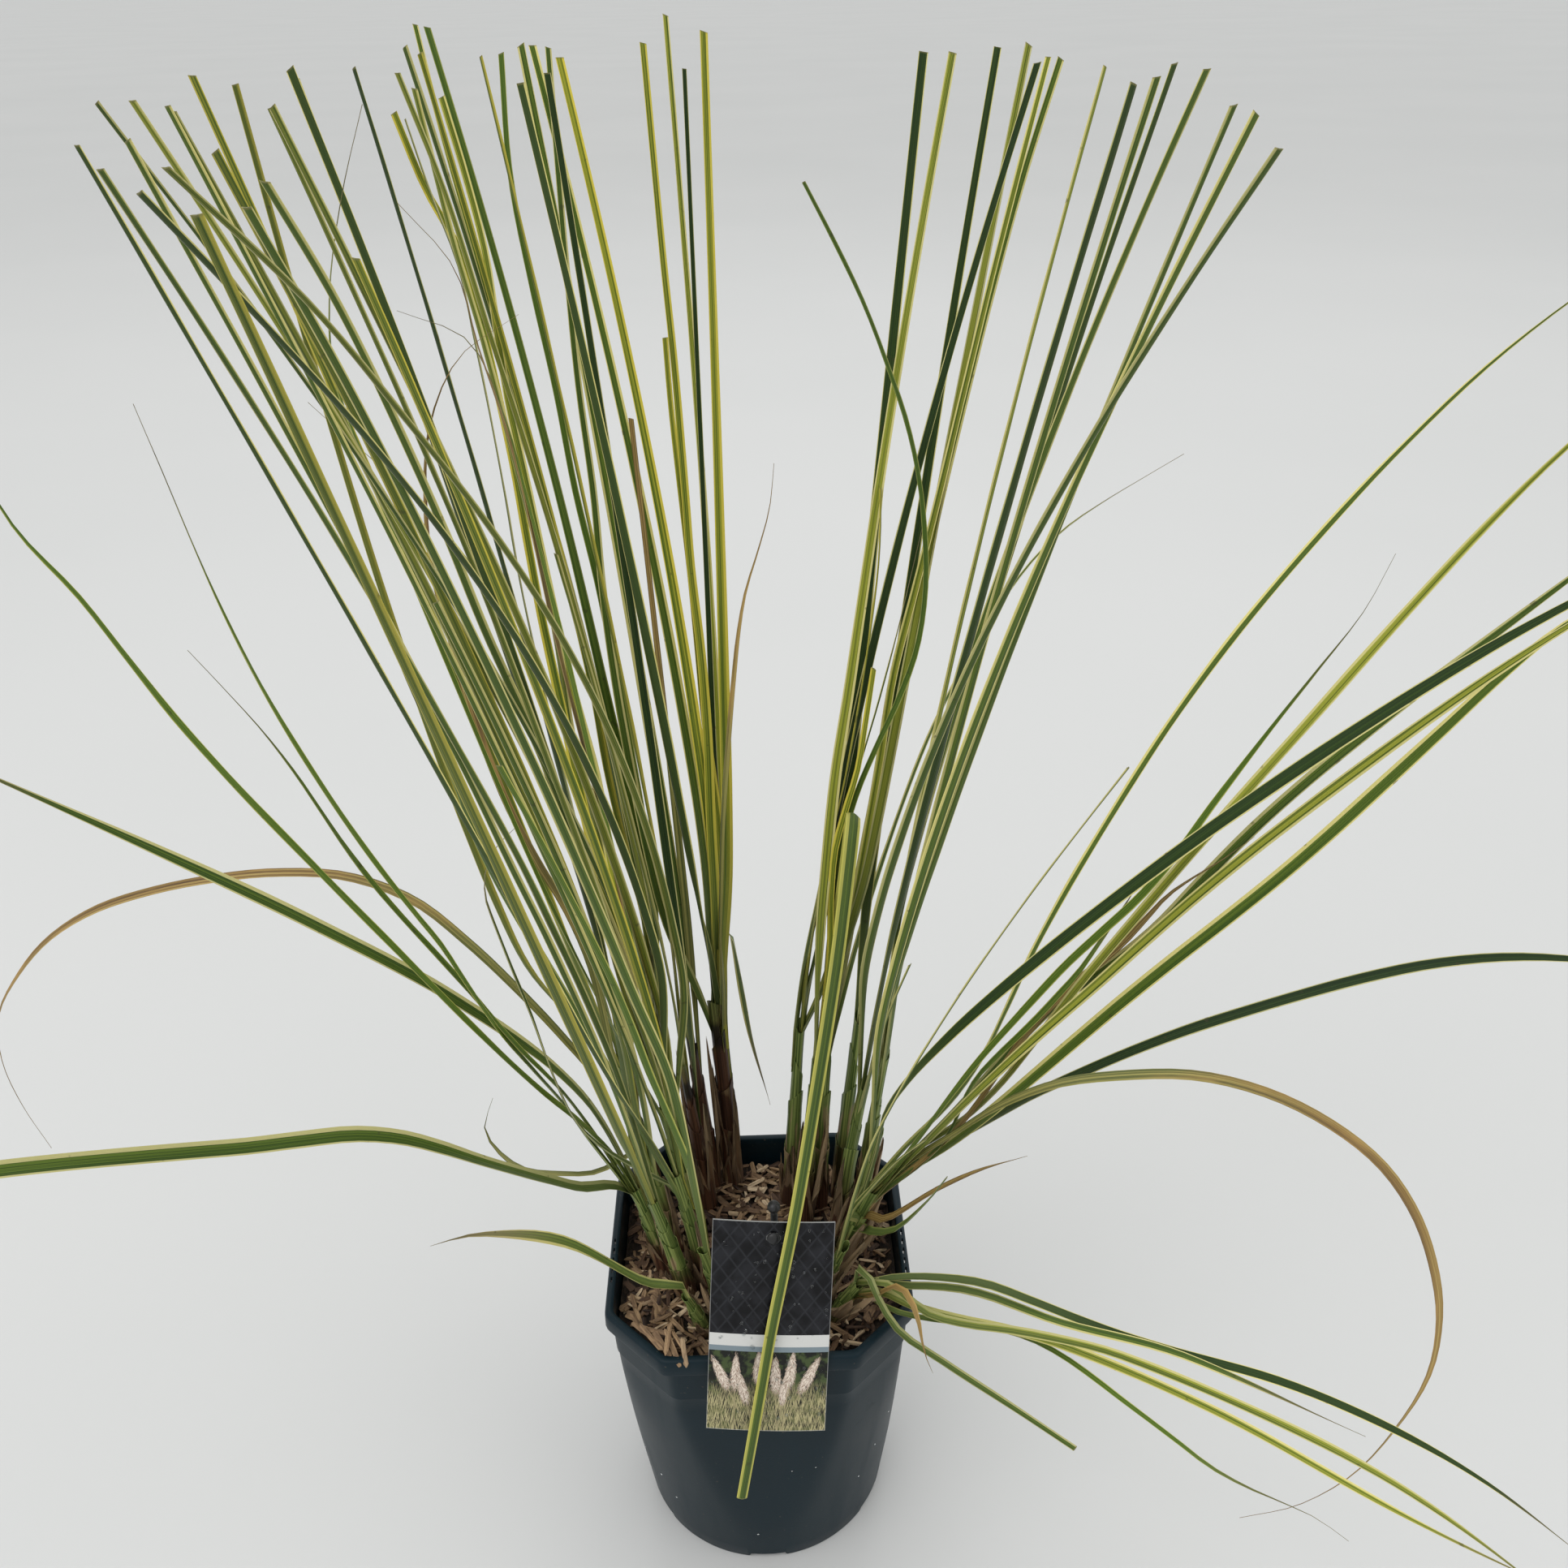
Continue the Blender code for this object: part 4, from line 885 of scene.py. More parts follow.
def make_pot():
    """The tub with its foot, a step under the rim, a rolled lip that hangs clear, slots and drains."""
    foot_width, pad_radius, under = 7 * MM, 28 * MM, 3.5 * MM
    pad = FOOT_RADIUS - pad_radius
    band, proud = POT_HEIGHT - 35 * MM, -0.7 * MM
    roof = POT_HEIGHT - 2.4 * MM
    hem = POT_HEIGHT - LIP_DEPTH
    profile = [
        (0.0, pad + 1 * MM), (0.3 * MM, pad), (under, pad - 0.4 * MM), (under, foot_width + 0.4 * MM),
        (0.4 * MM, foot_width), (0.0, foot_width - 0.6 * MM), (0.0, 1.2 * MM), (0.35 * MM, 0.35 * MM),
        (1.3 * MM, 0.0),
    ]
    profile += [(band * k / 14, 0.0) for k in range(1, 14)]
    profile += [(band - 0.5 * MM, 0.0), (band, proud * 0.2), (band + 0.4 * MM, proud),
                (band + 12 * MM, proud), (roof - 0.3 * MM, proud)]
    rings = [pot_ring(h, inset) for h, inset in profile]
    lip = (
        (roof, 1.7 * MM), (hem + 0.8 * MM, 1.5 * MM), (hem + 0.1 * MM, 1.1 * MM), (hem, 0.7 * MM),
        (hem + 0.3 * MM, 0.2 * MM), (hem + 1.2 * MM, 0.0), (POT_HEIGHT - 2.2 * MM, 0.15 * MM),
        (POT_HEIGHT - 1.1 * MM, 0.45 * MM), (POT_HEIGHT - 0.35 * MM, 1.1 * MM), (POT_HEIGHT, 2.1 * MM),
        (POT_HEIGHT, 3.6 * MM), (POT_HEIGHT - 0.5 * MM, 4.6 * MM), (POT_HEIGHT - 1.6 * MM, 5.1 * MM),
    )
    rings += [pot_ring(h, inset, lip=True) for h, inset in lip]
    inner = [POT_HEIGHT - 5 * MM] + [MIX_TOP - (MIX_TOP - 6 * MM) * k / 8 for k in range(9)]
    rings += [pot_ring(h, WALL) for h in inner]
    points, faces = loft(rings)
    pot = new_piece("plant_pot", points, faces, pot_finish(), stands_for=("pot",), slot="pot_plastic",
                    crease=38)
    cutters = []
    for n in range(DRAINS):
        turn = math.radians(-90) + n * math.tau / DRAINS
        cutters.append(box_points(FOOT_RADIUS - 10 * MM, FOOT_RADIUS + 5 * MM, 12 * MM, -2 * MM, 3.5 * MM,
                                  turn, 0.85))
        x, y = turned(DRAIN_RING, 0, math.radians(-60) + n * math.tau / DRAINS)
        cutters.append(disc_points(x, y, 5 * MM, 1 * MM, 8 * MM))
    for side in (0, math.pi):
        for k in range(SLOTS):
            lie = -2 * SLOT_STEP if side == 0 else 2 * SLOT_STEP
            x, y = turned(POT_WIDTH / 2 - 2.35 * MM, lie + (k - SLOTS // 2) * SLOT_STEP, side)
            corners = [(-0.55, -2.1), (0.55, -2.1), (0.55, 2.1), (-0.55, 2.1)]
            cutters.append(loft([[(x + a * MM, y + b * MM, z) for a, b in corners]
                                 for z in (roof - 1.5 * MM, POT_HEIGHT + 2 * MM)]))
    cut_away(pot, cutters)


# ---- filling ------------------------------------------------------------------------------------


def mound(x, y):
    """Height of the wood chips: low behind, and heaped up to the rim at the front left."""
    heap = math.exp(-((x + 52 * MM) ** 2 + (y + 52 * MM) ** 2) / (2 * (26 * MM) ** 2)) * 9 * MM
    right = math.exp(-((x - 48 * MM) ** 2 + (y + 44 * MM) ** 2) / (2 * (22 * MM) ** 2)) * 4 * MM
    ripples = 1.6 * MM * math.sin(x / (9 * MM) + 1.0) * math.sin(y / (11 * MM))
    return MULCH_TOP - 2 * MM + heap + right + ripples


def make_soil():
    """Mix inside the pot under the chips, with a lumpy top."""
    rings = [pot_ring(6.4 * MM + (MIX_TOP - 8 * MM) * k / 3, WALL + GAP, count=96) for k in range(4)]
    inset = [WALL + GAP + step * MM for step in (0.2, 3, 7, 12, 18, 25, 33, 42, 52, 62, 71)]
    for step, depth in enumerate(inset):
        ring = []
        for x, y, _ in pot_ring(MIX_TOP, depth, count=96):
            lump = 1.3 * MM * math.sin(x * 700 + step) * math.sin(y * 610 - step)
            ring.append((x, y, mound(x, y) - 4.5 * MM + lump))
        rings.append(ring)
    points, faces = loft(rings)
    new_piece("potting_soil", points, faces, soil_finish(), stands_for=("potting_mix",), slot="potting_mix")


def chip_shape(rng, length, width, thick):
    """A torn splinter: five-sided, a little bent, with ragged ends."""
    spread = [rng.uniform(0.75, 1.15) for _ in range(5)]
    rings = []
    bend = rng.uniform(-0.10, 0.10) * length
    for x in (-0.5, -0.42, 0.0, 0.40, 0.5):
        narrow = 0.45 + rng.uniform(-0.2, 0.2) if abs(x) == 0.5 else 0.95 + rng.uniform(-0.1, 0.1)
        skew = rng.uniform(-0.05, 0.05) * length if abs(x) > 0.4 else 0.0
        ring = []
        for k in range(5):
            angle = math.tau * k / 5 + 0.4
            ring.append((x * length + skew * math.cos(angle),
                         width / 2 * narrow * spread[k] * math.cos(angle),
                         thick / 2 * narrow * spread[k] * math.sin(angle) + bend * (x * x * 4 - 0.3)))
        rings.append(ring)
    return loft(rings)


def lay_chip(heap, rng, place, length, width, thick, heading, tilt, roll, shade):
    points, faces = chip_shape(rng, length, width, thick)
    turn = Matrix.Rotation(heading, 3, "Z") @ Matrix.Rotation(tilt, 3, "Y") @ Matrix.Rotation(roll, 3, "X")
    drift = rng.uniform(0, 50)
    grain = [(x / (9 * MM) + drift, y / (0.9 * MM), z / (0.9 * MM) + drift) for x, y, z in points]
    heap.add([Vector(place) + turn @ Vector(p) for p in points], faces, grain=grain, shade=shade)


CHIPS = 1500


def make_chips(clear):
    """A layer of torn wood chips, all ways round, with longer ones over the rim at the front left."""
    rng = random.Random(CHIP_SEED)
    heap = Heap("grain", "shade")
    for _ in range(CHIPS):
        angle = rng.uniform(0, math.tau)
        length = rng.choice((6, 8, 9, 11, 13, 16, 20)) * rng.uniform(0.8, 1.15) * MM
        room = pot_radius(angle, MIX_TOP, WALL) - length * 0.42 - 1 * MM
        x, y = turned(room * math.sqrt(rng.random()), 0, angle)
        if any((x - cx) ** 2 + (y - cy) ** 2 < (radius + 0.8 * MM) ** 2 for cx, cy, radius in clear):
            continue
        # A little darker everywhere as the chips' own tone, and darker still in the back left among the
        # shoots as painted shade.
        damp_and_painted_shade = 0.3 if y > -30 * MM and x < -14 * MM else 0.1
        place = (x, y, mound(x, y) + rng.uniform(-2.2, 1.2) * MM)
        shade = min(max(rng.gauss(0.62, 0.31) - damp_and_painted_shade, 0.02), 1.0)
        lay_chip(heap, rng, place, length, rng.uniform(1.6, 4.2) * MM, rng.uniform(0.8, 2.0) * MM,
                 rng.uniform(0, math.tau), rng.gauss(0, 0.22), rng.uniform(-0.6, 0.6), shade)
    for x, y, height, length, heading, tilt in RIM_CHIPS:
        lay_chip(heap, rng, (x * MM, y * MM, height * MM), length * MM, rng.uniform(2.2, 3.6) * MM,
                 rng.uniform(1.2, 2.0) * MM, math.radians(heading), math.radians(tilt), 0.3,
                 rng.uniform(0.5, 0.85))
    heap.piece("torn_wood_chips", chip_finish(), stands_for=("wood_chip_mulch",), slot="wood_chips",
               crease=35)


# Chips over the rim: x, y, height, length, heading and tilt in degrees
RIM_CHIPS = (
    (-46, -76, 190.5, 22, -68, 14), (-52, -73, 190.0, 18, -58, 10), (-58, -69, 190.5, 20, -50, 8),
    (-40, -79, 191.0, 16, -80, 16), (-63, -64, 190.0, 15, -40, 6), (-49, -71, 192.5, 20, -95, 4),
    (-56, -65, 191.0, 17, -20, -4), (-43, -73, 191.5, 14, -60, 6), (-67, -58, 189.5, 14, -60, 4),
)


# ---- care card and stake ------------------------------------------------------------------------


def card_frame():
    down = (CARD_FOOT - CARD_TOP).normalized()
    across = Vector((1, 0, 0)) - down * down.x
    across.normalize()
    forward = across.cross(down)
    if forward.y > 0:
        forward = -forward
    return down, across, forward


def card_point(along, side, depth):
    """A point of the card: along its length, to a side of its middle, and in front of its back."""
    down, across, forward = card_frame()
    bow = CARD_BOW * (1 - (2 * side / CARD_WIDTH) ** 2)
    return CARD_TOP + down * along + across * side + forward * (depth + bow)


def make_card():
    """A thin bowed card with a hole for the stake's button."""
    columns, rows = 32, 60
    rings = []
    values = {"side": [], "down": [], "front": []}
    for column in range(columns + 1):
        side = CARD_WIDTH * (column / columns - 0.5)
        ring = []
        for front, order in ((1.0, range(rows + 1)), (0.0, reversed(range(rows + 1)))):
            for row in order:
                ring.append(card_point(CARD_LENGTH * row / rows, side, CARD_THICKNESS * front))
                values["side"].append(2 * column / columns - 1)
                values["down"].append(row / rows)
                values["front"].append(front)
        rings.append(ring)
    points, faces = loft(rings)
    card = new_piece("printed_card", points, faces, card_finish(), values, stands_for=("care_card",),
                     slot="printed_card")
    down, across, forward = card_frame()
    centre = card_point(CARD_HOLE_DOWN, 0, 0)
    hole = [
        [centre + forward * reach + (across * math.cos(t) + down * math.sin(t)) * CARD_HOLE_RADIUS
         for t in (math.tau * k / 24 for k in range(24))]
        for reach in (-4 * MM, 4 * MM)
    ]
    cut_away(card, [loft(hole)])


def lathe(profile, origin, axis, across, count=28):
    """A turned shape: radius and reach along its axis, step by step."""
    other = axis.cross(across)
    return loft([
        [origin + axis * reach
         + (across * math.cos(math.tau * k / count) + other * math.sin(math.tau * k / count)) * r
         for k in range(count)]
        for r, reach in profile
    ])


def make_stake():
    """A pin with a round head, left without the real pin's ribs, and a peg that buttons through the card."""
    _, across, forward = card_frame()
    foot = Vector((CARD_TOP.x, CARD_TOP.y + STAKE_BEHIND, MIX_TOP))
    tall = STAKE_TOP - MIX_TOP
    heap = Heap()
    pin = [(0.4 * MM, 1 * MM), (1.5 * MM, 3 * MM), (STAKE_RADIUS, 5 * MM), (STAKE_RADIUS, tall - 8 * MM)]
    head = [(3.4 * MM * math.cos(t), tall - 3.4 * MM + 3.4 * MM * math.sin(t))
            for t in (math.pi / 2 * k / 6 for k in range(-5, 6))]
    heap.add(*lathe(pin + head + [(0.3 * MM, tall)], foot, Vector((0, 0, 1)), Vector((1, 0, 0))))
    centre = card_point(CARD_HOLE_DOWN, 0, 0)
    face = CARD_THICKNESS + GAP
    behind = (centre.y - foot.y) / abs(forward.y) + 0.6 * MM
    peg = [(1.6 * MM, behind), (1.6 * MM, face), (3.2 * MM, face), (3.4 * MM, face + 0.4 * MM),
           (3.2 * MM, face + 1.0 * MM), (2.4 * MM, face + 1.6 * MM), (1.2 * MM, face + 1.95 * MM),
           (0.3 * MM, face + 2 * MM)]
    heap.add(*lathe(peg, centre, forward, across))
    heap.piece("stake_and_button", stake_finish(), stands_for=("card_stake",), slot="stake_plastic",
               crease=40)


# ---- shoots -------------------------------------------------------------------------------------


def shoot_root(shoot):
    (x, y), _, _ = ALL_SHOOTS[shoot]
    return Vector((x * MM, y * MM, MIX_TOP))


def shoot_line(shoot, t):
    """The shoot's middle line, from 0 at the mix to 1 at the collar, leaning more as it rises."""
    (x, y), (lean_x, lean_y), height = ALL_SHOOTS[shoot]
    lean = t ** SHOOT_CURL
    return Vector((x + lean_x * lean, y + lean_y * lean, MIX_TOP / MM + (height - MIX_TOP / MM) * t)) * MM


def collar(shoot):
    return shoot_line(shoot, 1.0)


def shoot_axes(shoot, t=1.0):
    """Along the shoot, sideways, and the way its blades are stacked, from the inner to the outer."""
    ahead = (shoot_line(shoot, t + 0.02) - shoot_line(shoot, max(t - 0.02, 0.0))).normalized()
    _, (lean_x, lean_y), _ = ALL_SHOOTS[shoot]
    side = Vector((-lean_y, lean_x, 0)).normalized()
    return ahead, side, side.cross(ahead)


def shoot_size(shoot, t):
    """Half the shoot's breadth and half its depth."""
    count = sum(row[0] == shoot for row in TRIMMED) + sum(row[0] == shoot for row in ARCHING)
    deep_top = max(count * STACK / 2, 2.2 * MM)
    t = min(t, 1.0)
    return (5.2 - 1.2 * t) * MM, SHOOT_DEPTH * (1 - t) + deep_top * t


# Sheaths wrapped round each other: how far up each one reaches, and its size
WRAPS = ((0.40, 1.36, 0.5), (0.66, 1.22, 2.6), (0.86, 1.08, 4.4), (1.05, 0.95, 0.2))
DEAD_SHEATHS = "eop"
WRAP_SIDES = 24
WRAP_STEPS = 14
SHEATH_THICKNESS = 0.35 * MM


def make_culm(shoot, finish, rng):
    """A shoot's nested sheaths, each with a slanting mouth that the next one leaves."""
    heap = Heap("across", "along", "shade", "dead")
    for top, size, facing in WRAPS:
        facing += rng.uniform(-0.6, 0.6)
        top *= rng.uniform(0.93, 1.0) if top < 1 else 1.0
        rings, across, along = [], [], []
        steps = [(v, 0.0) for v in range(WRAP_STEPS + 1)]
        steps += [(v, SHEATH_THICKNESS) for v in reversed(range(WRAP_STEPS + 1))]
        for v, inward in steps:
            ring = []
            for k in range(WRAP_SIDES):
                angle = math.tau * k / WRAP_SIDES
                slanted = top * (1 + 0.07 * math.cos(angle - facing))
                mouth = slanted if top < 1 else top + 0.02 * math.cos(angle)
                t = mouth * (v / WRAP_STEPS) ** 0.9
                wide, deep = shoot_size(shoot, t)
                _, side, stack = shoot_axes(shoot, t)
                loose = 1 + 0.10 * smooth_step((v / WRAP_STEPS - 0.82) / 0.18)
                loose -= 0.05 * smooth_step(v / WRAP_STEPS)
                crease = 1 + 0.05 * math.cos(7 * angle + facing)
                wide = wide * size * loose * crease - inward
                deep = deep * size * loose * crease - inward
                centre = shoot_line(shoot, t)
                centre.z += 0.5 * MM
                ring.append(centre + side * wide * math.cos(angle) + stack * deep * math.sin(angle))
                across.append(abs((angle - facing) / math.pi % 2 - 1))
                along.append(t)
            rings.append(ring)
        heap.add(*loft(rings, "joined"), across=across, along=along, shade=rng.random(),
                 dead=1.0 if shoot in DEAD_SHEATHS else 0.0)
    stands_for = (f"shoot_{shoot}",) if shoot in SHOOTS else ()
    heap.piece(f"sheaths_{shoot}", finish, stands_for=stands_for, slot="sheath", crease=60)


# Dead outer sheaths: shoot, facing in degrees, part of a turn, height, flare, and how light it is
HUSKS = (
    ("a", -120, 0.45, 36, 3, 0.3), ("a", 20, 0.3, 50, 7, 0.6), ("a", -60, 0.3, 70, 5, 0.7),
    ("b", -150, 0.4, 34, 3, 0.3), ("b", -60, 0.3, 26, 6, 0.5), ("b", 60, 0.2, 44, 7, 0.8),
    ("c", -100, 0.4, 62, 3, 0.4), ("c", 60, 0.35, 45, 3, 0.2), ("c", -40, 0.2, 84, 5, 0.6),
    ("d", -90, 0.4, 50, 3, 0.4), ("d", 40, 0.35, 40, 3, 0.2), ("d", -140, 0.2, 76, 6, 0.7),
    ("e", -60, 0.22, 82, 8, 0.6), ("e", 170, 0.4, 50, 3, 0.2), ("e", -130, 0.25, 96, 3, 0.1),
    ("e", -90, 0.4, 44, 2, 0.0), ("f", -70, 0.3, 72, 4, 0.3), ("f", 120, 0.3, 48, 3, 0.2),
    ("f", -20, 0.22, 96, 5, 0.5), ("g", -110, 0.4, 48, 3, 0.3), ("g", 30, 0.28, 56, 7, 0.6),
    ("g", 150, 0.3, 36, 3, 0.2), ("g", -60, 0.2, 76, 5, 0.8), ("h", -80, 0.28, 74, 5, 0.5),
    ("h", 60, 0.35, 44, 5, 0.2), ("h", -150, 0.35, 40, 3, 0.1), ("i", -120, 0.28, 72, 6, 0.7),
    ("i", 20, 0.3, 40, 6, 0.4), ("i", -60, 0.4, 34, 3, 0.2), ("j", -90, 0.4, 42, 3, 0.3),
    ("j", 30, 0.24, 58, 6, 0.5), ("k", -80, 0.45, 58, 7, 0.7), ("k", 30, 0.35, 30, 6, 0.3),
    ("k", -20, 0.25, 50, 9, 0.9), ("k", 170, 0.24, 56, 5, 0.7), ("l", -100, 0.6, 36, 8, 0.8),
    ("l", 20, 0.4, 26, 7, 0.4), ("l", 140, 0.3, 34, 6, 0.7), ("l", -50, 0.28, 46, 10, 0.9),
    ("m", -90, 0.5, 22, 5, 0.4), ("m", 100, 0.4, 26, 5, 0.6), ("m", 10, 0.25, 38, 8, 0.8),
    ("n", -120, 0.4, 38, 3, 0.4), ("n", 60, 0.35, 30, 5, 0.3), ("n", -50, 0.22, 58, 6, 0.6),
    ("o", -100, 0.35, 66, 4, 0.2), ("o", 0, 0.22, 110, 6, 0.5), ("o", -160, 0.3, 90, 4, 0.1),
    ("p", -110, 0.35, 58, 4, 0.3), ("p", -40, 0.22, 92, 9, 0.6), ("q", -100, 0.4, 66, 6, 0.6),
    ("q", -30, 0.22, 80, 8, 0.8), ("q", 150, 0.3, 60, 5, 0.4), ("r", -90, 0.35, 44, 5, 0.4),
    ("r", 0, 0.22, 66, 9, 0.8), ("s", -110, 0.35, 46, 4, 0.3), ("s", -40, 0.2, 70, 6, 0.7),
    ("t", -100, 0.4, 30, 4, 0.3), ("t", 10, 0.25, 48, 8, 0.7), ("u", -110, 0.35, 48, 4, 0.3),
    ("u", -40, 0.22, 70, 5, 0.5), ("v", -100, 0.5, 42, 8, 0.7), ("v", 20, 0.25, 46, 10, 0.9),
    ("w", -80, 0.3, 60, 4, 0.3),
)
HUSK_COLUMNS = 14
HUSK_ROWS = 16


def make_husk(heap, rng, shoot, facing, part, height, flare, shade):
    """A torn papery strip round the foot of a shoot, curling away towards its ragged tip."""
    (_, _, collar_height) = ALL_SHOOTS[shoot]
    reach = height / (collar_height - MIX_TOP / MM)
    phase = rng.uniform(0, math.tau)
    rings, across, along = [], [], []
    for row in range(HUSK_ROWS + 1):
        v = row / HUSK_ROWS
        outer, inner = [], []
        for column in range(HUSK_COLUMNS + 1):
            c = 2 * column / HUSK_COLUMNS - 1
            ragged = 1 - 0.50 * abs(c) ** 1.2 + 0.09 * math.sin(3.1 * c * math.pi + phase) * v
            t = reach * v * ragged
            wide, deep = shoot_size(shoot, t)
            _, side, stack = shoot_axes(shoot, t)
            narrow = 1 - 0.72 * v ** 1.6
            angle = math.radians(facing) + c * math.pi * part * narrow
            turn = Vector((math.cos(angle), math.sin(angle), 0))
            out = (side * turn.dot(side) + stack * turn.dot(stack)).normalized()
            radius = (wide + deep) / 2 * 1.24 + flare * MM * v ** 2 * (1 - 0.4 * abs(c))
            radius += 0.5 * MM * math.sin(5 * c + phase + 3 * v)
            centre = shoot_line(shoot, t) + Vector((0, 0, 1 * MM))
            outer.append(centre + out * radius)
            inner.append(centre + out * (radius - 0.35 * MM))
            across.append(c)
            along.append(v)
        rings.append(outer + inner[::-1])
        across += across[-HUSK_COLUMNS - 1:][::-1]
        along += along[-HUSK_COLUMNS - 1:]
    heap.add(*loft(rings), across=across, along=along, shade=shade)


def make_husks():
    rng = random.Random(HUSK_SEED)
    finish = husk_finish()
    for shoot in ALL_SHOOTS:
        heap = Heap("across", "along", "shade")
        for row in HUSKS:
            if row[0] == shoot:
                make_husk(heap, rng, *row)
        heap.piece(f"torn_husks_{shoot}", finish, slot="sheath", crease=60)


# ---- lines of the leaves ------------------------------------------------------------------------


def smooth_way(stops, count):
    """Evenly spaced points on a smooth curve through the stops."""
    stops = np.array(stops, float)
    ends = np.vstack([2 * stops[0] - stops[1], stops, 2 * stops[-1] - stops[-2]])
    fine = []
    for i in range(1, len(ends) - 2):
        a, b, c, d = ends[i - 1:i + 3]
        for t in np.linspace(0, 1, CURVE_STEPS, endpoint=False):
            fine.append(0.5 * (2 * b + (c - a) * t + (2 * a - 5 * b + 4 * c - d) * t ** 2
                               + (3 * b - a - 3 * c + d) * t ** 3))
    fine.append(stops[-1])
    fine = np.array(fine)
    along = distances(fine)
    wanted = np.linspace(0, along[-1], count)
    return np.column_stack([np.interp(wanted, along, fine[:, k]) for k in range(3)])


def distances(way):
    return np.concatenate([[0], np.cumsum(np.linalg.norm(np.diff(way, axis=0), axis=1))])


def trimmed_way(shoot, end, curl, sway, start=1.0):
    """A blade that leaves the mix upright and leans out to its cut end."""
    root = np.array(shoot_root(shoot)) / MM
    end = np.array(end, float)
    reach = end[:2] - root[:2]
    side = np.array([-reach[1], reach[0]]) / np.linalg.norm(reach)
    leaves_at = root[2] + (ALL_SHOOTS[shoot][2] - root[2]) * start
    first = (leaves_at + GAP / MM - root[2]) / (end[2] - root[2])
    stops = []
    for u in np.linspace(first, 1, 9):
        flat = root[:2] + reach * u ** curl + side * sway * math.sin(math.pi * u)
        stops.append((*flat, root[2] + (end[2] - root[2]) * u))
    return stops


def arching_way(shoot, stops, start=1.0):
    """A blade that follows its shoot for a little and then goes its own way."""
    ahead, _, _ = shoot_axes(shoot, start)
    first = np.array(shoot_line(shoot, start)) / MM
    return [tuple(first), tuple(first + np.array(ahead) * 12), *stops]


def frame_leaves():
    """The middle lines of the leaves that the frame has, as the frame has them."""
    leaves = {}
    for shoot in SHOOTS:
        ahead, _, stack = (np.array(axis) for axis in shoot_axes(shoot))
        rows = [(trimmed_way(shoot, end, curl, sway), width, turn, "cut", TRIMMED_STEPS)
                for s, end, curl, sway, width, turn in TRIMMED if s == shoot]
        rows += [(arching_way(shoot, stops), width, turn, ending, ARCHING_STEPS)
                 for s, width, turn, ending, stops in ARCHING if s == shoot]
        planned = []
        for stops, width, turn, ending, steps in rows:
            way = smooth_way(stops, steps + 1) * MM
            along = distances(way)
            there = [np.interp(ORDER_REACH, along, way[:, k]) for k in range(3)]
            planned.append((float(np.dot(there, stack)), way, along, width, turn, ending))
        planned.sort(key=lambda plan: plan[0])
        for order, (_, way, along, width, turn, ending) in enumerate(planned):
            start = np.array(collar(shoot)) + stack * (order - (len(planned) - 1) / 2) * STACK
            start = start + ahead * COLLAR_GAP
            fade = np.array([1 - smooth_step(a / SETTLE) for a in along])
            way = way + (start - way[0]) * fade[:, None]
            leaves[f"{shoot}{order + 1}"] = {
                "shoot": shoot, "way": way, "along": along, "turn": turn, "ending": ending,
                "width": width * MM, "finish": LEAF_FINISH.get(f"{shoot}{order + 1}", "edged"),
                "fixed": False, "free_from": 0,
            }
    return leaves


def more_leaves():
    """The middle lines of the further leaves, each starting inside its sheath's mouth."""
    leaves = {}
    rows = [(s, trimmed_way(s, end, curl, sway, start), width, turn, "cut", start, finish, TRIMMED_STEPS)
            for s, end, curl, sway, width, turn, start, finish in FILLING]
    rows += [(s, arching_way(s, stops, start), width, turn, ending, start, finish, ARCHING_STEPS)
             for s, width, turn, ending, start, finish, stops in TRAILING]
    for number, (shoot, stops, width, turn, ending, start, finish, steps) in enumerate(rows):
        way = smooth_way(stops, steps + 1) * MM
        along = distances(way)
        _, side, stack = (np.array(axis) for axis in shoot_axes(shoot, start))
        wide, deep = shoot_size(shoot, start)
        reach = way[-1] - way[0]
        out = side * np.dot(reach, side) / wide + stack * np.dot(reach, stack) / deep
        out /= np.linalg.norm(out)
        first = np.array(shoot_line(shoot, start)) + out * (deep * 0.5 + 0.8 * MM)
        fade = np.array([1 - smooth_step(a / SETTLE) for a in along])
        way = way + (first - way[0]) * fade[:, None]
        leaves[f"{shoot}_more{number + 1}"] = {
            "shoot": shoot, "way": way, "along": along, "turn": turn, "ending": ending,
            "width": width * MM, "finish": finish, "fixed": False, "free_from": 2,
        }
    return leaves


def half_width(leaf, u):
    grown = 0.7 + 0.3 * smooth_step(u / 0.15)
    if leaf["ending"] == "cut":
        taper = 1 - 0.5 * smooth_step(u)
    elif leaf["ending"] == "blunt":
        taper = 1 - 0.25 * u ** 2
    else:
        taper = 1 - 0.15 * u - 0.83 * smooth_step((u - 0.6) / 0.4)
    return leaf["width"] / 2 * grown * taper


def leaf_stations(leaf):
    """At each point of a leaf's line: the point, the way across, the way up, and half the width."""
    way, along = leaf["way"], leaf["along"]
    start_side = np.array(shoot_axes(leaf["shoot"])[1])
    out = way[-1] - way[0]
    own_side = np.array([-out[1], out[0], 0.0])
    own_side /= max(np.linalg.norm(own_side), 1e-9)
    if np.dot(own_side, start_side) < 0:
        own_side = -own_side
    stations = []
    for i, point in enumerate(way):
        ahead = way[min(i + 1, len(way) - 1)] - way[max(i - 1, 0)]
        ahead /= np.linalg.norm(ahead)
        side = start_side + (own_side - start_side) * smooth_step(along[i] / SETTLE)
        side = side - ahead * np.dot(side, ahead)
        side /= np.linalg.norm(side)
        up = np.cross(ahead, side)
        twist = math.radians(leaf["turn"]) * smooth_step(along[i] / (2 * SETTLE))
        wide = side * math.cos(twist) + up * math.sin(twist)
        high = up * math.cos(twist) - side * math.sin(twist)
        stations.append((point, wide, high, half_width(leaf, along[i] / along[-1])))
    return stations


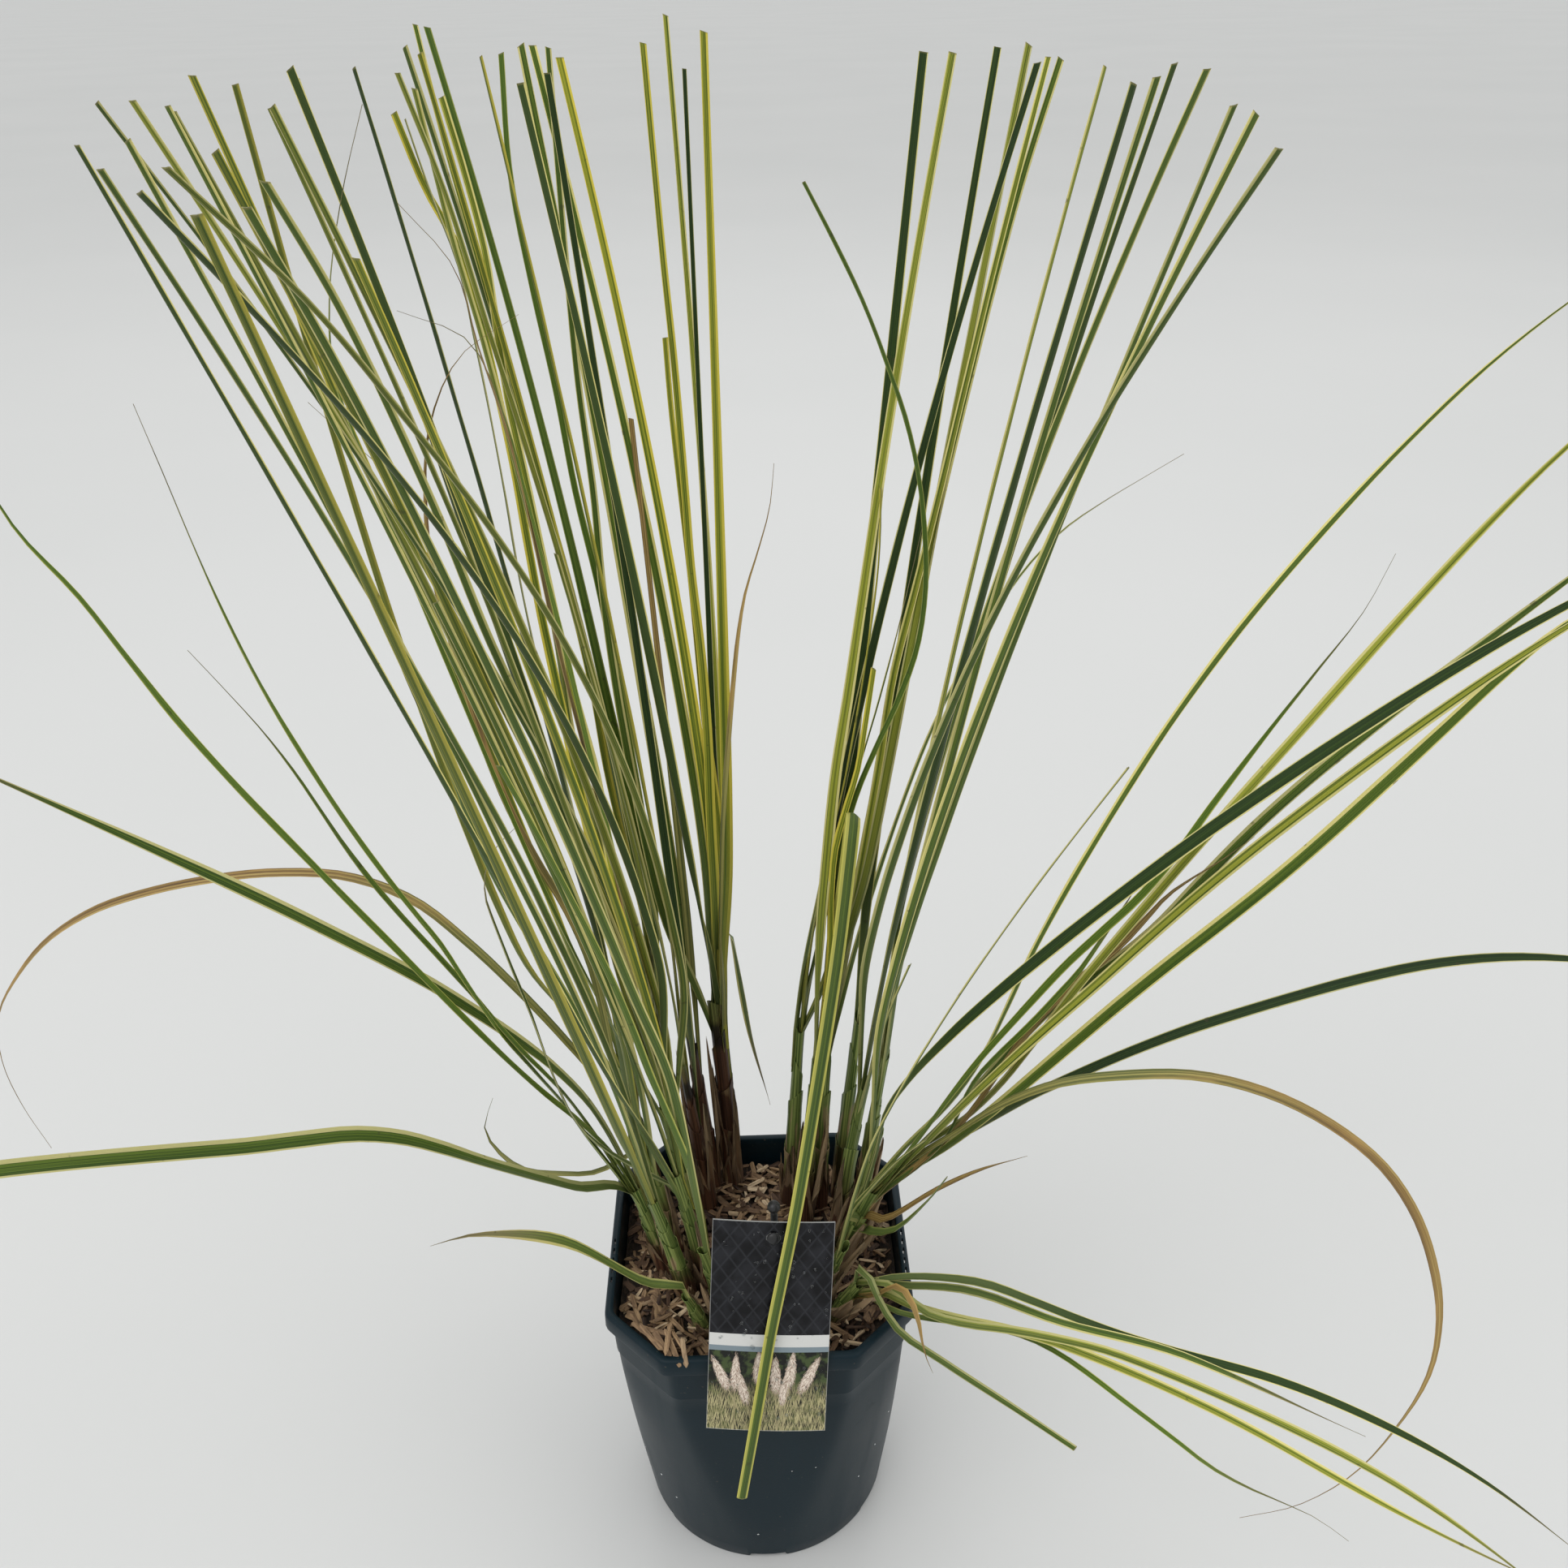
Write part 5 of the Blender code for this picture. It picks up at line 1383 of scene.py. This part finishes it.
def skin_tree(leaf):
    """A leaf's plain skin, a little swollen, to find what it touches."""
    points, faces = [], []
    for point, wide, high, half in leaf_stations(leaf):
        thick = BLADE_THICKNESS / 2 * min(1.0, 0.4 + half / (2 * MM)) + GAP
        half += GAP
        rise = high * FOLD * half
        points += [point - wide * half + rise, point + high * thick]
        points += [point + wide * half + rise, point - high * thick]
    for r in range(len(points) // 4 - 1):
        for i in range(4):
            near, near_next = 4 * r + i, 4 * r + (i + 1) % 4
            far, far_next = near + 4, near_next + 4
            if i % 2 == 0:
                faces += [(near, near_next, far_next), (near, far_next, far)]
            else:
                faces += [(near, near_next, far), (near_next, far_next, far)]
    last = len(points) - 4
    faces += [(0, 3, 1), (1, 3, 2), (last, last + 1, last + 3), (last + 1, last + 2, last + 3)]
    return BVHTree.FromPolygons([Vector(p) for p in points], faces)


def spread_leaves(leaves, posts, rounds):
    """Bends leaves aside where they would pass through each other or through a post."""
    names = list(leaves)
    trees = {name: skin_tree(leaves[name]) for name in names}
    for _ in range(rounds):
        pushes = {}
        for i, one in enumerate(names):
            for other in names[i + 1:]:
                if leaves[one]["fixed"] and leaves[other]["fixed"]:
                    continue
                hits = trees[one].overlap(trees[other])
                hits = past_mouth(leaves, one, other, hits)
                if hits:
                    lay_aside(leaves, pushes, one, other, hits)
            if leaves[one]["fixed"]:
                continue
            for tree, axis in posts:
                hits = trees[one].overlap(tree)
                if hits:
                    lean_off(leaves, pushes, one, axis, hits)
        if not pushes:
            return
        for name, push in pushes.items():
            leaves[name]["way"] = leaves[name]["way"] + push
            trees[name] = skin_tree(leaves[name])


def past_mouth(leaves, one, other, hits):
    """Of the faces that touch, those beyond where a leaf leaves its sheath's mouth."""
    return [hit for hit in hits
            if hit[0] // STEP_FACES >= leaves[one]["free_from"]
            and hit[1] // STEP_FACES >= leaves[other]["free_from"]]


def add_push(leaves, pushes, name, station, direction):
    """Moves a leaf's middle line by one nudge at a station, less and less away from it."""
    if leaves[name]["fixed"]:
        return
    along = leaves[name]["along"]
    near = np.clip(1 - np.abs(along - along[station]) / NUDGE_REACH, 0, 1)
    near = near * near * (3 - 2 * near) * np.clip(along / ROOT_REACH, 0, 1)
    pushes[name] = pushes.get(name, 0) + direction[None, :] * near[:, None] * NUDGE


def step_of(hits, which, steps):
    return min(int(np.median([hit[which] for hit in hits])) // STEP_FACES, steps - 1)


def lay_aside(leaves, pushes, one, other, hits):
    first = leaves[one]["way"]
    second = leaves[other]["way"]
    here = step_of(hits, 0, len(first) - 1)
    there = step_of(hits, 1, len(second) - 1)
    ahead = first[here + 1] - first[here]
    beside = second[there + 1] - second[there]
    apart = np.cross(ahead, beside)
    if np.linalg.norm(apart) < 0.15 * np.linalg.norm(ahead) * np.linalg.norm(beside):
        apart = (first[here] + first[here + 1]) / 2 - (second[there] + second[there + 1]) / 2
    apart /= max(np.linalg.norm(apart), 1e-9)
    gap = (first[here] + first[here + 1] - second[there] - second[there + 1]) / 2
    together = leaves[one]["shoot"] == leaves[other]["shoot"]
    if together and leaves[one]["fixed"] == leaves[other]["fixed"] and max(here, there) < 4:
        apart = -np.array(shoot_axes(leaves[one]["shoot"])[2])
        gap = apart
    if np.dot(gap, apart) < 0:
        apart = -apart
    add_push(leaves, pushes, one, min(here + 1, len(first) - 1), apart)
    add_push(leaves, pushes, other, min(there + 1, len(second) - 1), -apart)


def lean_off(leaves, pushes, one, axis, hits):
    way = leaves[one]["way"]
    here = step_of(hits, 0, len(way) - 1)
    away = way[here] - axis
    away[2] = 0
    away /= max(np.linalg.norm(away), 1e-9)
    add_push(leaves, pushes, one, min(here + 1, len(way) - 1), 2 * away)


def post_of(node):
    """A piece of the frame that leaves lean away from."""
    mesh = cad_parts[node].data
    points = [v.co.copy() for v in mesh.vertices]
    tree = BVHTree.FromPolygons(points, [tuple(p.vertices) for p in mesh.polygons])
    return tree, (np.array(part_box(node)[0]) + np.array(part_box(node)[1])) / 2


# ---- leaves -------------------------------------------------------------------------------------


def finished_line(leaf):
    """The leaf's line in small steps, with a tuck inside its sheath before it."""
    way = leaf["way"]
    count = max(int(leaf["along"][-1] / LEAF_STEP), 8)
    fine = smooth_way(way, count + 1)
    ahead = np.array(shoot_axes(leaf["shoot"])[0])
    tuck = [fine[0] - ahead * TUCK * k / 3 for k in (3, 2, 1)]
    fine = np.vstack([tuck, fine])
    return {**leaf, "way": fine, "along": distances(fine) - TUCK}


def add_leaf(heap, leaf, rng):
    """A leaf's skin: a folded strip with a rounded back, rippled edges, and a cut or pointed end."""
    leaf = finished_line(leaf)
    length = leaf["along"][-1]
    slant = rng.uniform(-0.5, 0.5) if leaf["ending"] == "cut" else 0.0
    phase = rng.uniform(0, math.tau)
    facing = rng.choice((-1, 1))
    rings = []
    values = {key: [] for key in ("across", "along", "under", "to_end")}
    columns = [(2 * j / LEAF_SIDES - 1, 1) for j in range(LEAF_SIDES + 1)]
    columns += [(a, -1) for a, _ in reversed(columns[1:-1])]
    stations = leaf_stations(leaf)
    for i, (point, wide, high, half) in enumerate(stations):
        s = leaf["along"][i]
        ahead = stations[i][0] - stations[i - 1][0] if i else stations[1][0] - point
        ahead = ahead / np.linalg.norm(ahead)
        fold = FOLD + 0.5 * (1 - smooth_step(s / (100 * MM)))
        thick = BLADE_THICKNESS / 2 * min(1.0, 0.4 + half / (2 * MM))
        ring = []
        for a, face in columns:
            skin = thick * (1 - 0.75 * a * a) * face if abs(a) < 1 else 0.0
            ripple = 0.12 * MM * math.sin(s * 90 + phase + a) * abs(a) ** 3
            rise = fold * half * abs(a) ** 1.25 + skin + ripple
            cut = slant * a * half if i == len(stations) - 1 else 0.0
            ring.append(point + wide * half * a + high * rise + ahead * cut)
            values["across"].append(a * facing)
            values["along"].append(s)
            values["under"].append(1.0 if face < 0 else 0.0)
            values["to_end"].append(length - s)
        rings.append(ring)
    pointed = 1.0 if leaf["ending"] == "point" else 0.0
    heap.add(*loft(rings), **values, shade=rng.random(), pointed=pointed)


LEAF_VALUES = ("across", "along", "under", "to_end", "shade", "pointed")


def make_leaves():
    card_posts = [post_of(node) for node in ("care_card", "card_stake")]
    shoot_posts = [post_of(f"shoot_{shoot}") for shoot in SHOOTS]
    leaves = frame_leaves()
    spread_leaves(leaves, card_posts + shoot_posts, CLEAR_ROUNDS)
    for leaf in leaves.values():
        leaf["fixed"] = True
    leaves.update(more_leaves())
    spread_leaves(leaves, card_posts, MORE_ROUNDS)
    finishes = {kind: leaf_finish(kind) for kind in LEAF_KINDS}
    finishes["dry"] = dry_finish("leaf_dry", -0.2)
    finishes["dry_tip"] = dry_finish("leaf_dry_tip", 0.16)
    rng = random.Random(LEAF_SEED)
    for name, leaf in leaves.items():
        heap = Heap(*LEAF_VALUES)
        add_leaf(heap, leaf, rng)
        stands_for = (f"blade_{name}",) if leaf["fixed"] else ()
        heap.piece(f"leaf_{name}", finishes[leaf["finish"]], stands_for=stands_for, slot="leaf", crease=60)


# ---- water --------------------------------------------------------------------------------------


def add_drop(heap, place, out, radius, rng):
    """A flattened bead of water on a surface."""
    out = Vector(out).normalized()
    across = out.orthogonal().normalized()
    other = out.cross(across)
    stretch = rng.uniform(0.8, 1.25)
    rings = []
    for level in range(5):
        lift = math.sin(math.pi / 2 * level / 4.4)
        r = radius * math.cos(math.pi / 2 * level / 4.4)
        rings.append([
            Vector(place) + out * (lift * radius * 0.55)
            + across * r * math.cos(math.tau * k / 10) + other * r * stretch * math.sin(math.tau * k / 10)
            for k in range(10)
        ])
    heap.add(*loft(rings))


CARD_DROPS = 110
POT_DROPS = 14


def make_drops():
    rng = random.Random(DROP_SEED)
    heap = Heap()
    forward = card_frame()[2]
    for _ in range(CARD_DROPS):
        along = CARD_LENGTH * rng.uniform(0.03, 0.97)
        side = CARD_WIDTH * rng.uniform(-0.47, 0.47)
        if (along - CARD_HOLE_DOWN) ** 2 + side ** 2 < (5 * MM) ** 2:
            continue
        radius = rng.choice((0.35, 0.45, 0.6, 0.6, 0.9, 1.2)) * MM
        add_drop(heap, card_point(along, side, CARD_THICKNESS + 0.02 * MM), forward, radius, rng)
    for _ in range(POT_DROPS):
        angle = rng.uniform(math.pi, math.tau)
        height = rng.uniform(20, 170) * MM
        radius = pot_radius(angle, height, 0) + (0.7 * MM if height > 155 * MM else 0.02 * MM)
        out = (math.cos(angle), math.sin(angle), 0)
        add_drop(heap, (radius * out[0], radius * out[1], height), out, rng.uniform(0.35, 0.75) * MM, rng)
    heap.piece("water_drops", water_finish(), crease=80)


# ---- floor, light and camera --------------------------------------------------------------------

FLOOR_REACH = 150.0
SKY_COLOUR = (0.90, 0.91, 0.905, 1)
SKY_STRENGTH = 0.94
SOFTBOXES = (  # place, power in watts and size in metres
    ((-2.2, -2.4, 4.0), 60, 3.5), ((2.6, -1.0, 3.6), 22, 3.0), ((0.2, 3.0, 3.8), 24, 3.0),
)
LIT_MIDDLE = Vector((0, 0, 0.35))


def make_stage():
    floor = bpy.data.meshes.new("floor")
    corners = [(x * FLOOR_REACH, y * FLOOR_REACH, 0) for x, y in ((-1, -1), (1, -1), (1, 1), (-1, 1))]
    floor.from_pydata(corners, [], [(0, 1, 2, 3)])
    floor.materials.append(floor_finish())
    ground = placed("floor", floor)
    bpy.context.scene.view_settings.view_transform = "Standard"
    world = bpy.data.worlds.new("studio")
    world.use_nodes = True
    world.node_tree.nodes["Background"].inputs["Color"].default_value = SKY_COLOUR
    world.node_tree.nodes["Background"].inputs["Strength"].default_value = SKY_STRENGTH
    bpy.context.scene.world = world
    for place, power, size in SOFTBOXES:
        data = bpy.data.lights.new("softbox", "AREA")
        data.energy = power
        data.size = size
        lamp = placed("softbox", data)
        lamp.location = place
        lamp.rotation_euler = (LIT_MIDDLE - Vector(place)).to_track_quat("-Z", "Y").to_euler()


CAMERA_PLACE = (0.0105, -0.601, 0.829)
CAMERA_PITCH = math.radians(29.46)  # downwards
CAMERA_YAW = math.radians(0.94)  # towards +X
CAMERA_ROLL = math.radians(-1.22)
CAMERA_LENS = 33.30


def make_camera():
    level_part = math.cos(CAMERA_PITCH)
    ahead = Vector((math.sin(CAMERA_YAW) * level_part, math.cos(CAMERA_YAW) * level_part,
                    -math.sin(CAMERA_PITCH)))
    level = Vector((math.cos(CAMERA_YAW), -math.sin(CAMERA_YAW), 0))
    above = level.cross(ahead)
    right = level * math.cos(CAMERA_ROLL) + above * math.sin(CAMERA_ROLL)
    up = above * math.cos(CAMERA_ROLL) - level * math.sin(CAMERA_ROLL)
    data = bpy.data.cameras.new("camera")
    data.lens = CAMERA_LENS
    data.sensor_width = 36
    data.clip_start = 0.01
    camera = placed("camera", data)
    turn = Matrix((right, up, -ahead)).transposed().to_4x4()
    camera.matrix_world = Matrix.Translation(CAMERA_PLACE) @ turn
    bpy.context.scene.camera = camera


# ---- the whole ----------------------------------------------------------------------------------


def build():
    make_stage()
    make_camera()
    make_pot()
    make_soil()
    clear = [(*shoot_root(shoot).xy, 5.5 * MM) for shoot in ALL_SHOOTS]
    clear.append((CARD_TOP.x, CARD_TOP.y + STAKE_BEHIND, 2.4 * MM))
    make_chips(clear)
    make_card()
    make_stake()
    rng = random.Random(SHEATH_SEED)
    sheath = sheath_finish()
    for shoot in ALL_SHOOTS:
        make_culm(shoot, sheath, rng)
    make_husks()
    make_leaves()
    make_drops()


build()
